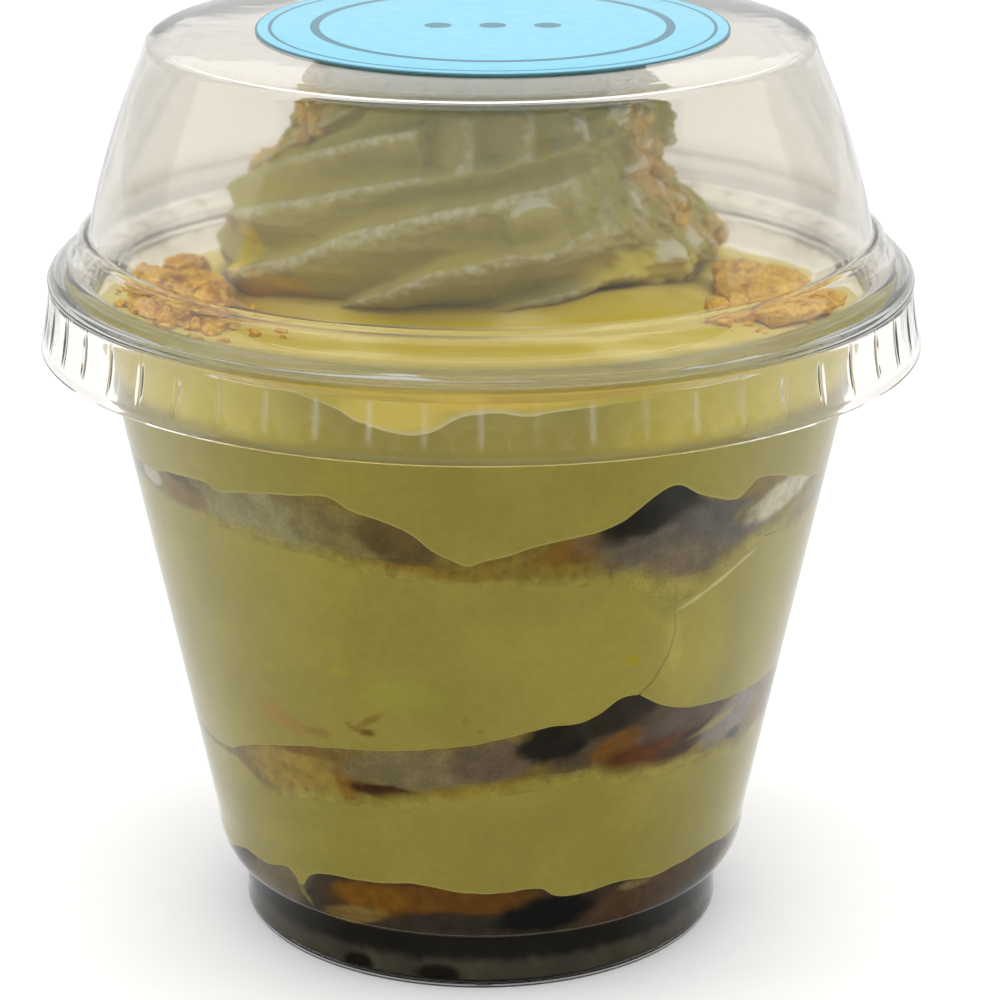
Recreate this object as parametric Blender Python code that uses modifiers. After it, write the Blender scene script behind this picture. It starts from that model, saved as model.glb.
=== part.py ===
"""Banana pudding in a clear dessert cup with a domed lid: the solids, in metres with +Z up.

The front faces -Y, and the origin is the middle of the foot, on the table. Every angle is in
degrees, from the front towards +X, and every height in the tables of the fillings is in
millimetres at the cup's wall.
"""

import bisect
import math
import random

import bmesh
import bpy
from mathutils import Matrix, Vector

MM = 0.001
GAP = 0.3 * MM  # between pieces that touch
HALF_GAP = GAP / 2

# Cup
CUP_SEGMENTS = 48
WALL = 0.6 * MM
FOOT_RADIUS = 27.65 * MM
FOOT_TOP = 6.4 * MM
FOOT_RECESS = 1.5 * MM
FLOOR = FOOT_RECESS + WALL
CREASE_RADIUS = 28.0 * MM
SHOULDER_TOP = 12.2 * MM
SHOULDER_RADIUS = 30.92 * MM
SHOULDER_DEPTH = 5.6 * MM
TAPER = 0.2009  # growth of the radius with height
BEAD_FOOT = 73.2 * MM  # where the outside leaves the bead
BEAD_HEIGHT = 75.35 * MM
BEAD_RADIUS = 1.6 * MM
BEAD_RING = 44.7 * MM

# Lid
LID_FLUTES = 54
LID_WALL = 0.5 * MM
LID_TOP = 102.77 * MM
PLATEAU_RADIUS = 33.2 * MM
DOME_FOOT = 81.04 * MM
DOME_FOOT_RADIUS = 43.48 * MM
DOME_LEAN = 0.2009
DOME_CURVE = 6.6  # how fast the dome's wall closes in, per metre
DOME_SHOULDER = 100.9 * MM
DOME_ROWS = 3
SHOULDER_BEND = 0.9 * MM
LID_EDGE = ((44.84, 80.4), (46.04, 77.92), (48.07, 75.8), (48.5, 74.2), (48.8, 70.4))  # bends, in mm
SKIRT_TOP = 76.5 * MM
SKIRT_BOTTOM = 68.7 * MM
SKIRT_RADIUS = 49.25 * MM
FLUTE_TOP = 75.0 * MM
FLUTE_BOTTOM = 69.7 * MM
FLUTE_DEPTH = 0.7 * MM

# Label
LABEL_RADIUS = 25.97 * MM
LABEL_THICKNESS = 0.2 * MM
LABEL_OFFSET = 1.3 * MM
LABEL_GAP = 0.1 * MM

# The fillings share one grid of angles and of shares of the way from the axis to the wall
STATIONS = (
    -180, -165, -150, -135, -120, -105, -90, -78, -66, -60, -53, -44, -40, -34, -28, -23, -18,
    -14, -10, -6, -3, 3, 8, 15, 19, 24, 28, 33, 38, 43, 46, 50, 58, 66, 78, 90, 105, 120, 135,
    150, 165,
)
CORE_SHARE = 0.78
SHARES = (0.0, CORE_SHARE, 1.0)
FOOD_RADIUS = 33.0 * MM  # about half way up, for the gaps between pieces
HALF_GAP_SHARE = HALF_GAP / FOOD_RADIUS
SYRUP_TOP = 7.4

# Where one layer ends and the next begins: the height at the axis, then (angle, height) pairs
BASE_TOP = (12.6, (
    (-90, 11.5), (-53, 11.7), (-44, 12.4), (-40, 8.9), (-34, 12.9), (-18, 14.3), (-3, 13.4),
    (8, 14.2), (19, 12.5), (50, 13.1), (90, 12.2), (150, 12.6), (220, 12.4),
))
LOWER_FRUIT_BOTTOM = (25.2, (
    (-90, 24.2), (-60, 23.4), (-53, 22.1), (-44, 22.0), (-18, 24.2), (8, 26.9), (19, 27.7),
    (33, 25.7), (50, 25.3), (66, 25.9), (120, 24.8), (180, 25.8), (230, 24.6),
))
LOWER_FRUIT_TOP = (31.0, (
    (-90, 24.8), (-60, 24.2), (-53, 26.1), (-44, 27.9), (-18, 31.4), (8, 33.7), (28, 37.4), (33, 35.4),
    (43, 33.2), (66, 32.5), (120, 31.0), (180, 31.4), (230, 29.6),
))
UPPER_FRUIT_BOTTOM = (53.0, (
    (-66, 56.1), (-53, 55.1), (-44, 56.2), (-18, 54.0), (-3, 52.6), (19, 51.8), (33, 47.9),
    (50, 52.5), (66, 52.8), (120, 53.5), (180, 52.0), (240, 53.6),
))
UPPER_FRUIT_TOP = (58.5, (
    (-66, 57.7), (-44, 59.0), (-23, 60.9), (-14, 59.2), (-3, 54.2), (15, 57.6), (28, 62.2),
    (38, 59.3), (43, 58.7), (46, 60.6), (66, 57.7), (120, 58.8), (180, 57.6), (240, 58.8),
))
CUSTARD_BOTTOM = (72.0, (
    (-66, 72.6), (-23, 73.4), (-14, 71.0), (-10, 68.7), (-6, 70.1), (8, 72.0), (24, 73.2),
    (58, 72.6), (120, 69.5), (180, 67.6), (240, 70.0),
))
CUSTARD_TOP = (75.4, (
    (-60, 74.3), (0, 75.1), (60, 74.4), (120, 71.6), (180, 70.0), (240, 72.2),
))

# Where the two dollops of the middle layer meet: (height, angle) down the wall, and at the back
SEAM = ((60.0, 33.0), (47.9, 32.6), (44.0, 33.8), (41.0, 33.0), (37.4, 28.6), (30.0, 26.0))
BACK_SEAM = 150.0

# Cream swirl: folds that wind up to the right round a core, under a taller mass of cream
FOLDS = 9
FOLD_PITCH = 4.8 * MM
FOLD_START = 74.7 * MM
FOLD_SHAPE = ((0.0, -1.3), (0.3, -0.1), (0.74, 1.2), (0.92, 0.7))  # share up a fold, mm out
FOLD_COLUMNS = 45
SWIRL_BOTTOM = 76.1 * MM
SWIRL_TOP = 92.6 * MM
SWIRL_PROFILE = (
    (76.0, 22.5), (78.5, 26.2), (81.0, 26.8), (84.0, 25.6), (87.0, 22.8), (89.5, 20.4), (93.0, 18.6),
)
PEAK_PROFILE = (
    (88.0, 17.5), (90.5, 19.6), (93.5, 20.4), (97.0, 20.0), (99.2, 17.6), (100.5, 12.5), (101.0, 6.0),
)
PEAK_BOTTOM = 88.0 * MM
PEAK_TOP = 101.2 * MM
PEAK_RIDGE = (-1.5, -0.2, 0.6, 0.9, 0.6)  # mm out, from crease to crease
PEAK_LEAN = 2.2  # degrees a ridge leans for each millimetre up
LOBE = (57, 20.5, 79.6, (6.4, 4.6, 3.7))  # angle, radius, height, half sizes: the blob at the right

# Toppings
HEAP_ANGLES = (-90, -46)
HEAP_MIDDLE = 0.84
HEAP_HALF_WIDTH = 0.135
HEAP_HEIGHT = 3.2 * MM
HEAP_LUMPS = 12
TOPPING_HEIGHT = 74.0 * MM  # where the toppings meet the wall
CRUMB_REACH = 0.65  # how far a crumb reaches from its middle, as a share of its size
CREAM_CRUMBS = (
    (-70, 92.0, 4.4), (-62, 96.0, 4.0), (-84, 89.0, 2.4), (74, 94.0, 5.0), (84, 90.0, 3.4),
    (74, 85.0, 4.6), (82, 81.0, 4.4), (110, 87.0, 3.6), (160, 92.0, 4.2), (230, 90.0, 3.8),
)
WAFER_PIECE = (  # the corners of its upper face
    (25.6, -9.0, 80.4), (34.5, -11.0, 78.8), (39.3, -14.8, 76.8), (37.6, -18.0, 76.4),
    (31.0, -23.2, 76.8), (25.6, -16.4, 78.2),
)
WAFER_SEAT = 75.4 * MM


def material(name, colour, roughness, alpha=1.0):
    made = bpy.data.materials.new(name)
    made.use_nodes = True
    surface = made.node_tree.nodes["Principled BSDF"]
    surface.inputs["Base Color"].default_value = (*colour, 1.0)
    surface.inputs["Roughness"].default_value = roughness
    surface.inputs["Metallic"].default_value = 0.0
    surface.inputs["Alpha"].default_value = alpha
    return made


def new_collection(name):
    made = bpy.data.collections.new(name)
    bpy.context.scene.collection.children.link(made)
    return made


def polar(angle, radius, height):
    """The point at this angle from the front, towards +X."""
    turn = math.radians(angle)
    return Vector((radius * math.sin(turn), -radius * math.cos(turn), height))


def add_object(name, mesh, finish, collection):
    made = bpy.data.objects.new(name, mesh)
    mesh.materials.append(finish)
    mesh.shade_smooth()
    mesh.set_sharp_from_angle(angle=math.radians(35))
    collection.objects.link(made)
    return made


def turned(name, profile, segments, finish, collection):
    """A profile in the XZ plane, turned about the axis with a Screw modifier."""
    mesh = bpy.data.meshes.new(name)
    points = [(radius, 0.0, height) for radius, height in profile]
    mesh.from_pydata(points, [(i, i + 1) for i in range(len(points) - 1)], [])
    made = add_object(name, mesh, finish, collection)
    screw = made.modifiers.new("turn", "SCREW")
    screw.steps = screw.render_steps = segments
    screw.use_merge_vertices = True
    screw.merge_threshold = 0.00001
    return made


def evaluated_mesh(made):
    """The object's mesh with its modifiers applied."""
    graph = bpy.context.evaluated_depsgraph_get()
    return bpy.data.meshes.new_from_object(made.evaluated_get(graph))


def loft(name, loops, tips, finish, collection):
    """A closed skin over equal loops of points, its ends closed to a tip point or, with no tip, flat."""
    shape = bmesh.new()
    rings = [[shape.verts.new(point) for point in loop] for loop in loops]
    count = len(rings[0])
    for upper, lower in zip(rings, rings[1:]):
        for k in range(count):
            n = (k + 1) % count
            shape.faces.new((upper[k], lower[k], lower[n], upper[n]))
    for ring, tip in ((rings[0], tips[0]), (rings[-1], tips[1])):
        if tip is None:
            shape.faces.new(ring)
            continue
        centre = shape.verts.new(tip)
        for k in range(count):
            shape.faces.new((centre, ring[k], ring[(k + 1) % count]))
    bmesh.ops.recalc_face_normals(shape, faces=shape.faces)
    bmesh.ops.triangulate(shape, faces=shape.faces, quad_method="SHORT_EDGE")
    mesh = bpy.data.meshes.new(name)
    shape.to_mesh(mesh)
    shape.free()
    return add_object(name, mesh, finish, collection)


def arc(ring, height, across, up, start, end, steps):
    """Profile points along part of an ellipse round (ring, height)."""
    turns = [math.radians(start + (end - start) * i / steps) for i in range(steps + 1)]
    return [(ring + across * math.cos(t), height + up * math.sin(t)) for t in turns]


def outer_radius(height):
    """The cup's outer radius where the wall is straight."""
    return SHOULDER_RADIUS + (height - SHOULDER_TOP) * TAPER


def inner_radius(height):
    """The radius of the cup's inside at a height above its floor."""
    if height >= SHOULDER_TOP:
        return outer_radius(height) - WALL
    foot = FOOT_RADIUS - WALL
    shoulder_foot = SHOULDER_TOP - SHOULDER_DEPTH + WALL
    if height <= shoulder_foot:
        return foot
    drop = (SHOULDER_TOP - height) / (SHOULDER_TOP - shoulder_foot)
    return foot + (SHOULDER_RADIUS - WALL - foot) * math.sqrt(1.0 - drop * drop)


def food_radius(height):
    """How far the food reaches, a gap clear of the wall and of the ledge over the foot."""
    return inner_radius(height - GAP) - GAP


def build_cup(finish, collection):
    foot_inside = FOOT_RADIUS - WALL
    inside = [(0.0, FLOOR), (foot_inside - GAP, FLOOR), (foot_inside, FLOOR + GAP)]
    inside += arc(
        foot_inside, SHOULDER_TOP, SHOULDER_RADIUS - WALL - foot_inside, WALL - SHOULDER_DEPTH, 90, 0, 4
    )
    inside.append((inner_radius(BEAD_HEIGHT), BEAD_HEIGHT))
    bead = arc(BEAD_RING, BEAD_HEIGHT, BEAD_RADIUS, BEAD_RADIUS, 125, -95, 5)
    outside = [(outer_radius(BEAD_FOOT), BEAD_FOOT)]
    outside += arc(
        CREASE_RADIUS, SHOULDER_TOP, SHOULDER_RADIUS - CREASE_RADIUS, -SHOULDER_DEPTH, 0, 90, 3
    )
    outside += [
        (FOOT_RADIUS + 0.15 * MM, FOOT_TOP),
        (FOOT_RADIUS, 0.9 * MM),
        (FOOT_RADIUS - 0.8 * MM, 0.0),
        (FOOT_RADIUS - 2.0 * MM, 0.0),
        (FOOT_RADIUS - 2.6 * MM, FOOT_RECESS),
        (0.0, FOOT_RECESS),
    ]
    return turned("cup", inside + bead + outside, CUP_SEGMENTS, finish, collection)


def dome_radius(height):
    rise = height - DOME_FOOT
    return DOME_FOOT_RADIUS - DOME_LEAN * rise - DOME_CURVE * rise * rise


def build_lid(finish, collection):
    """Turned at one step a flute, then the skirt is split once more and pressed in between flutes."""
    shoulder = dome_radius(DOME_SHOULDER)
    profile = [(0.0, LID_TOP), (PLATEAU_RADIUS, LID_TOP)]
    profile.append((shoulder - SHOULDER_BEND, LID_TOP - SHOULDER_BEND))
    for row in range(DOME_ROWS + 1):
        height = DOME_SHOULDER + (DOME_FOOT - DOME_SHOULDER) * row / DOME_ROWS
        profile.append((dome_radius(height), height))
    profile += [(radius * MM, height * MM) for radius, height in LID_EDGE]
    profile.append((SKIRT_RADIUS, SKIRT_BOTTOM))
    plain = turned("lid", profile, LID_FLUTES, finish, collection)
    shape = bmesh.new()
    shape.from_mesh(evaluated_mesh(plain))
    skirt = [edge for edge in shape.edges if is_skirt_ring(edge)]
    split = bmesh.ops.subdivide_edges(shape, edges=skirt, cuts=1, use_grid_fill=True)
    for vert in {item for item in split["geom_inner"] if isinstance(item, bmesh.types.BMVert)}:
        pressed = FLUTE_DEPTH if FLUTE_BOTTOM < vert.co.z < FLUTE_TOP else 0.0
        out = Vector((vert.co.x, vert.co.y, 0.0))
        full = math.hypot(*neighbour_ring(vert)) - pressed
        vert.co = out.normalized() * full + Vector((0.0, 0.0, vert.co.z))
    plain.modifiers.clear()
    shape.to_mesh(plain.data)
    shape.free()
    plain.data.shade_smooth()
    plain.data.set_sharp_from_angle(angle=math.radians(35))
    shell = plain.modifiers.new("wall", "SOLIDIFY")
    shell.thickness = LID_WALL
    shell.offset = -1.0
    shell.use_even_offset = True
    return plain


def is_skirt_ring(edge):
    """Whether the edge runs round the skirt, at its flange or lower."""
    ends = [vert.co for vert in edge.verts]
    return all(co.z < SKIRT_TOP for co in ends) and abs(ends[0].z - ends[1].z) < 0.01 * MM


def neighbour_ring(vert):
    """The place of a skirt point that was there before the split, at the same height."""
    for edge in vert.link_edges:
        other = edge.other_vert(vert)
        if abs(other.co.z - vert.co.z) < 0.01 * MM:
            return other.co.x, other.co.y
    raise ValueError("a split point of the skirt has no neighbour in its ring")


def build_label(finish, collection):
    shape = bmesh.new()
    bmesh.ops.create_cone(
        shape,
        cap_ends=True,
        segments=48,
        radius1=LABEL_RADIUS,
        radius2=LABEL_RADIUS,
        depth=LABEL_THICKNESS,
    )
    mesh = bpy.data.meshes.new("label")
    shape.to_mesh(mesh)
    shape.free()
    made = add_object("label", mesh, finish, collection)
    made.location = (LABEL_OFFSET, 0.0, LID_TOP + LABEL_GAP + LABEL_THICKNESS / 2)
    return made


def on_curve(knots, angle):
    """A smooth closed curve through (angle, height) pairs."""
    angles = [knot[0] for knot in knots]
    count = len(knots)
    angle = angles[0] + (angle - angles[0]) % 360.0
    start = bisect.bisect_right(angles, angle) - 1

    def knot(i):
        turns, place = divmod(i, count)
        return knots[place][0] + 360.0 * turns, knots[place][1]

    (a0, h0), (a1, h1), (a2, h2), (a3, h3) = (knot(start + i) for i in (-1, 0, 1, 2))
    share = (angle - a1) / (a2 - a1)
    rise_in = (h2 - h0) / (a2 - a0) * (a2 - a1)
    rise_out = (h3 - h1) / (a3 - a1) * (a2 - a1)
    square, cube = share * share, share**3
    return (
        (2 * cube - 3 * square + 1) * h1
        + (cube - 2 * square + share) * rise_in
        + (3 * square - 2 * cube) * h2
        + (cube - square) * rise_out
    )


def surface(level, flatness=2.0):
    """A height over the whole cup, straight between the points of the shared grid."""
    middle, knots = level
    rim = [on_curve(knots, angle) for angle in STATIONS]

    def at_station(place, share):
        return middle + (rim[place] - middle) * share**flatness

    def height(angle, share):
        angle = STATIONS[0] + (angle - STATIONS[0]) % 360.0
        place = bisect.bisect_right(STATIONS, angle) - 1
        after = (place + 1) % len(STATIONS)
        span = (STATIONS[after] - STATIONS[place]) % 360.0
        turn = (angle - STATIONS[place]) / span
        ring = min(bisect.bisect_right(SHARES, share) - 1, len(SHARES) - 2)
        out = (share - SHARES[ring]) / (SHARES[ring + 1] - SHARES[ring])
        inner = at_station(place, SHARES[ring]) * (1 - turn) + at_station(after, SHARES[ring]) * turn
        outer = at_station(place, SHARES[ring + 1]) * (1 - turn)
        outer += at_station(after, SHARES[ring + 1]) * turn
        return (inner * (1 - out) + outer * out) * MM

    return height


def level_surface(height):
    return lambda angle, share: height * MM


def filling(name, bottom, top, finish, collection, reach=1.0, rows=1):
    """A layer right through the cup between two surfaces, out to the wall or to a share of it."""

    def ring(level, share, shift):
        points = []
        for angle in STATIONS:
            height = level(angle, share) + shift
            points.append(polar(angle, share * food_radius(height), height))
        return points

    shares = [share for share in SHARES[1:] if share < reach] + [reach]
    top_rings = [ring(top, share, -HALF_GAP) for share in shares]
    side = []
    for row in range(1, rows):
        points = []
        for angle in STATIONS:
            low, high = bottom(angle, reach) + HALF_GAP, top(angle, reach) - HALF_GAP
            height = high + (low - high) * row / rows
            points.append(polar(angle, reach * food_radius(height), height))
        side.append(points)
    bottom_rings = [ring(bottom, share, HALF_GAP) for share in reversed(shares)]
    tips = (Vector((0, 0, top(0, 0) - HALF_GAP)), Vector((0, 0, bottom(0, 0) + HALF_GAP)))
    return loft(name, top_rings + side + bottom_rings, tips, finish, collection)


def wall_piece(name, bottom, top, columns, finish, collection, rows=1):
    """A slice or broken wafer pressed against the wall, between shares of a layer's height.

    columns holds (angle, lower share, upper share) from one end to the other.
    """
    first, last = columns[0][0], columns[-1][0]
    turns = (0, 360) if last > 180 else (0,)
    inner = sorted(a + t for a in STATIONS for t in turns if first < a + t < last)
    inset = math.degrees(HALF_GAP_SHARE)
    loops = []
    for angle in [first + inset, *inner, last - inset]:
        place = max(1, min(bisect.bisect_left([c[0] for c in columns], angle), len(columns) - 1))
        (a0, low0, high0), (a1, low1, high1) = columns[place - 1], columns[place]
        turn = (angle - a0) / (a1 - a0)
        low_share = low0 + (low1 - low0) * turn
        high_share = high0 + (high1 - high0) * turn

        def point(share, part):
            low, high = bottom(angle, share), top(angle, share)
            start = low + (high - low) * low_share + HALF_GAP
            end = low + (high - low) * high_share - HALF_GAP
            height = start + (end - start) * part
            return polar(angle, share * food_radius(height), height)

        inside = CORE_SHARE + HALF_GAP_SHARE
        loop = [point(1.0, row / rows) for row in range(rows + 1)]
        loops.append(loop + [point(inside, 1), point(inside, 0)])
    return loft(name, loops, (None, None), finish, collection)


def seam_block(name, shift, collection):
    """The room of the right-hand dollop, from the seam round to the back seam."""
    loops = []
    for height, angle in SEAM:
        corners = ((angle + shift, 60), (angle + 25, 110), (95, 120), (BACK_SEAM - 20, 110))
        loop = [Vector((shift * 0.4 * MM, shift * 0.4 * MM, height * MM))]
        loop += [polar(turn, radius * MM, height * MM) for turn, radius in corners]
        loop.append(polar(BACK_SEAM - shift, 60 * MM, height * MM))
        loops.append(loop)
    block = loft(name, loops, (None, None), bpy.data.materials["pudding"], collection)
    block.hide_render = True
    block.display_type = "WIRE"
    return block


def build_middle_dollops(bottom, top, finish, collection, cutters):
    for name, shift, operation in (
        ("pudding_middle_left", -0.25, "DIFFERENCE"),
        ("pudding_middle_right", 0.25, "INTERSECT"),
    ):
        dollop = filling(name, bottom, top, finish, collection)
        cut = dollop.modifiers.new("seam", "BOOLEAN")
        cut.operation = operation
        cut.object = seam_block(name + "_seam", shift, cutters)


def fused(core, lumps, solver="EXACT"):
    """Joins a collection of lumps to the core with one union, and leaves the largest body."""
    union = core.modifiers.new("fuse", "BOOLEAN")
    union.operation = "UNION"
    union.operand_type = "COLLECTION"
    union.collection = lumps
    union.solver = solver
    shape = bmesh.new()
    shape.from_mesh(evaluated_mesh(core))
    core.modifiers.clear()
    bodies = []
    left = set(shape.faces)
    while left:
        body, edge_of_body = set(), [left.pop()]
        while edge_of_body:
            face = edge_of_body.pop()
            body.add(face)
            for edge in face.edges:
                for other in edge.link_faces:
                    if other in left:
                        left.discard(other)
                        edge_of_body.append(other)
        bodies.append(body)
    bodies.sort(key=len)
    scraps = [face for body in bodies[:-1] for face in body]
    bmesh.ops.delete(shape, geom=scraps, context="FACES")
    bmesh.ops.triangulate(shape, faces=shape.faces)
    shape.to_mesh(core.data)
    shape.free()
    for lump in list(lumps.objects):
        bpy.data.objects.remove(lump)
    bpy.data.collections.remove(lumps)
    return core


def crumb(name, place, size, draw, collection):
    """A broken bit of wafer: a coarse ball, squashed and turned at random."""
    shape = bmesh.new()
    bmesh.ops.create_icosphere(shape, subdivisions=1, radius=size / 2)
    squash = Matrix.Diagonal((draw.uniform(0.9, 1.3), draw.uniform(0.8, 1.1), draw.uniform(0.7, 0.95), 1))
    turn = Matrix.Rotation(draw.uniform(0, math.tau), 4, Vector((draw.random(), draw.random(), 1.0)))
    bmesh.ops.transform(shape, matrix=Matrix.Translation(place) @ turn @ squash, verts=shape.verts)
    mesh = bpy.data.meshes.new(name)
    shape.to_mesh(mesh)
    shape.free()
    made = bpy.data.objects.new(name, mesh)
    collection.objects.link(made)
    return made


def along(profile, height):
    """A radius read off a profile of (height, radius) pairs in millimetres."""
    heights = [knot[0] for knot in profile]
    place = max(1, min(bisect.bisect_left(heights, height / MM), len(heights) - 1))
    (z0, r0), (z1, r1) = profile[place - 1], profile[place]
    share = min(1.0, max(0.0, (height / MM - z0) / (z1 - z0)))
    return (r0 + (r1 - r0) * share) * MM


def near(value, centre, width):
    return math.exp(-(((value - centre) / width) ** 2))


def swirl_radius(angle, height, out):
    """The folds' outline: widest low on the left, nipped in on the right, notched at the front right."""
    turn = math.radians(angle)
    low = max(0.0, 1.0 - (height - SWIRL_BOTTOM) / (12 * MM))
    sway = low * (-2.0 * math.sin(turn) - 2.0 * math.cos(turn) - 0.8 * math.cos(3 * turn + 0.6))
    nip = 2.6 * near(height, 86.5 * MM, 2.4 * MM) * max(0.0, math.sin(turn))
    notch = 7.0 * near(angle, 36.0, 13.0) * near(height, SWIRL_BOTTOM, 2.6 * MM)
    return along(SWIRL_PROFILE, height) + (sway - nip - notch + out) * MM


def build_folds(custard_top, finish, collection):
    """A skin whose rows follow the folds, so that a row comes back one turn later nine folds higher."""
    shape = bmesh.new()
    steps = len(FOLD_SHAPE)
    turn_rows = FOLDS * steps
    points = {}
    for column in range(FOLD_COLUMNS):
        angle = 360.0 * column / FOLD_COLUMNS - 180.0
        for row in range(-turn_rows, turn_rows):
            fold, step = divmod(row, steps)
            share, out = FOLD_SHAPE[step]
            height = FOLD_START + FOLD_PITCH * (fold + share + FOLDS * angle / 360.0)
            if SWIRL_BOTTOM < height < SWIRL_TOP:
                place = polar(angle, swirl_radius(angle, height, out), height)
                points[column, row] = shape.verts.new(place)
    for column, row in points:
        after, climb = (column + 1, 0) if column + 1 < FOLD_COLUMNS else (0, turn_rows)
        ring = ((column, row), (after, row + climb), (after, row + 1 + climb), (column, row + 1))
        corners = [points[key] for key in ring if key in points]
        if len(corners) >= 3:
            shape.faces.new(corners)
        below = ((column, row), (after, row - 1 + climb), (after, row + climb))
        if (column, row - 1) not in points and all(key in points for key in below):
            shape.faces.new([points[key] for key in below])
    rims = [edge for edge in shape.edges if edge.is_boundary]
    middle = (SWIRL_BOTTOM + SWIRL_TOP) / 2
    tips = {
        True: shape.verts.new((0.0, 0.0, SWIRL_TOP)),
        False: shape.verts.new((0.0, 0.0, custard_top(0, 0) + GAP)),
    }
    for edge in rims:
        shape.faces.new((*edge.verts, tips[edge.verts[0].co.z > middle]))
    bmesh.ops.recalc_face_normals(shape, faces=shape.faces)
    bmesh.ops.triangulate(shape, faces=shape.faces, quad_method="SHORT_EDGE")
    mesh = bpy.data.meshes.new("cream_swirl")
    shape.to_mesh(mesh)
    shape.free()
    return add_object("cream_swirl", mesh, finish, collection)


def peak_radius(angle, height):
    """The upper mass, with the ridges standing nearly upright."""
    lean = angle - PEAK_LEAN * (height - PEAK_BOTTOM) / MM
    column = (lean * FOLDS / 360.0) % 1.0 * len(PEAK_RIDGE)
    before, share = int(column), column % 1.0
    out = PEAK_RIDGE[before] + (PEAK_RIDGE[(before + 1) % len(PEAK_RIDGE)] - PEAK_RIDGE[before]) * share
    ease = min(1.0, (PEAK_TOP - height) / (2 * MM))
    return along(PEAK_PROFILE, height) + out * MM * ease


def build_peak(finish, collection):
    columns = FOLDS * len(PEAK_RIDGE)
    loops = []
    for height, _ in reversed(PEAK_PROFILE):
        lean = PEAK_LEAN * (height - PEAK_BOTTOM / MM)
        angles = [360.0 * i / columns + lean for i in range(columns)]
        loops.append([polar(angle, peak_radius(angle, height * MM), height * MM) for angle in angles])
    tips = (Vector((0, 0, PEAK_TOP)), Vector((0, 0, PEAK_BOTTOM)))
    return loft("cream_peak", loops, tips, finish, collection)


def build_lobe(finish, collection):
    angle, radius, height, halves = LOBE
    shape = bmesh.new()
    bmesh.ops.create_uvsphere(shape, u_segments=12, v_segments=8, radius=1.0)
    squash = Matrix.Diagonal((*(half * MM for half in halves), 1))
    turn = Matrix.Rotation(math.radians(angle), 4, "Z")
    place = Matrix.Translation(polar(angle, radius * MM, height * MM))
    bmesh.ops.transform(shape, matrix=place @ turn @ squash, verts=shape.verts)
    mesh = bpy.data.meshes.new("cream_lobe")
    shape.to_mesh(mesh)
    shape.free()
    return add_object("cream_lobe", mesh, finish, collection)


def build_cream(custard_top, finish, collection):
    draw = random.Random(11)
    swirl = build_folds(custard_top, finish, collection)
    additions = new_collection("additions")
    build_peak(finish, additions)
    build_lobe(finish, additions)
    for number, (angle, height, size) in enumerate(CREAM_CRUMBS):
        upper = peak_radius(angle, height * MM) if height > 88 else 0.0
        radius = max(upper, swirl_radius(angle, height * MM, 0.0)) + 0.6 * MM
        crumb(f"crumb_{number}", polar(angle, radius, height * MM), size * MM, draw, additions)
    return fused(swirl, additions)


def build_heap(custard_top, finish, collection):
    """Wafer crumbs heaped against the wall at the left: a low core with crumbs fused on."""
    draw = random.Random(5)
    start, end = HEAP_ANGLES
    count = 9
    loops = []
    for i in range(count):
        angle = start + (end - start) * i / (count - 1)
        hump = math.sin(math.pi * (i + 0.6) / (count + 0.2)) ** 0.7
        reach = HEAP_HALF_WIDTH * hump

        def point(across, lift):
            share = HEAP_MIDDLE + reach * across
            height = custard_top(angle, share) + 2 * GAP + lift * HEAP_HEIGHT * hump
            return polar(angle, share * food_radius(TOPPING_HEIGHT), height)

        top = [point(-1.0, 0.1), point(-0.5, 0.9), point(0.3, 1.0), point(1.0, 0.2)]
        loops.append(top + [point(across, 0.0) for across in (1.0, 0.3, -0.5, -1.0)])
    heap = loft("crumb_heap", loops, (None, None), finish, collection)
    lumps = new_collection("lumps")
    for number in range(HEAP_LUMPS):
        angle = start + 5 + (end - start - 10) * (number + 0.5) / HEAP_LUMPS
        share = HEAP_MIDDLE + (-0.07, 0.05, 0.0)[number % 3] + draw.uniform(-0.015, 0.015)
        hump = math.sin(math.pi * (angle - start) / (end - start)) ** 0.7
        size = draw.uniform(3.6, 6.4) * MM
        height = custard_top(angle, share) + GAP + max(HEAP_HEIGHT * hump, CRUMB_REACH * size)
        place = polar(angle, share * food_radius(TOPPING_HEIGHT), height)
        crumb(f"lump_{number}", place, size, draw, lumps)
    return fused(heap, lumps)


def build_wafer_piece(finish, collection):
    """A broken wafer on the right, its thick edge against the cream and its thin one at the wall."""
    top = [Vector((x * MM, y * MM, z * MM)) for x, y, z in WAFER_PIECE]
    centre = sum(top, Vector()) / len(top)
    crown = [centre + (point - centre) * 0.6 + Vector((0, 0, 0.35 * MM)) for point in top]
    brim = [point - Vector((0, 0, 0.3 * (point.z - WAFER_SEAT))) for point in top]
    seat = [Vector((point.x, point.y, WAFER_SEAT)) for point in top]
    lower = [centre.lerp(point, 0.94) for point in seat]
    for point in lower:
        point.z = WAFER_SEAT
    tips = (centre + Vector((0, 0, 0.5 * MM)), None)
    return loft("wafer_piece", [crown, brim, lower], tips, finish, collection)


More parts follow.
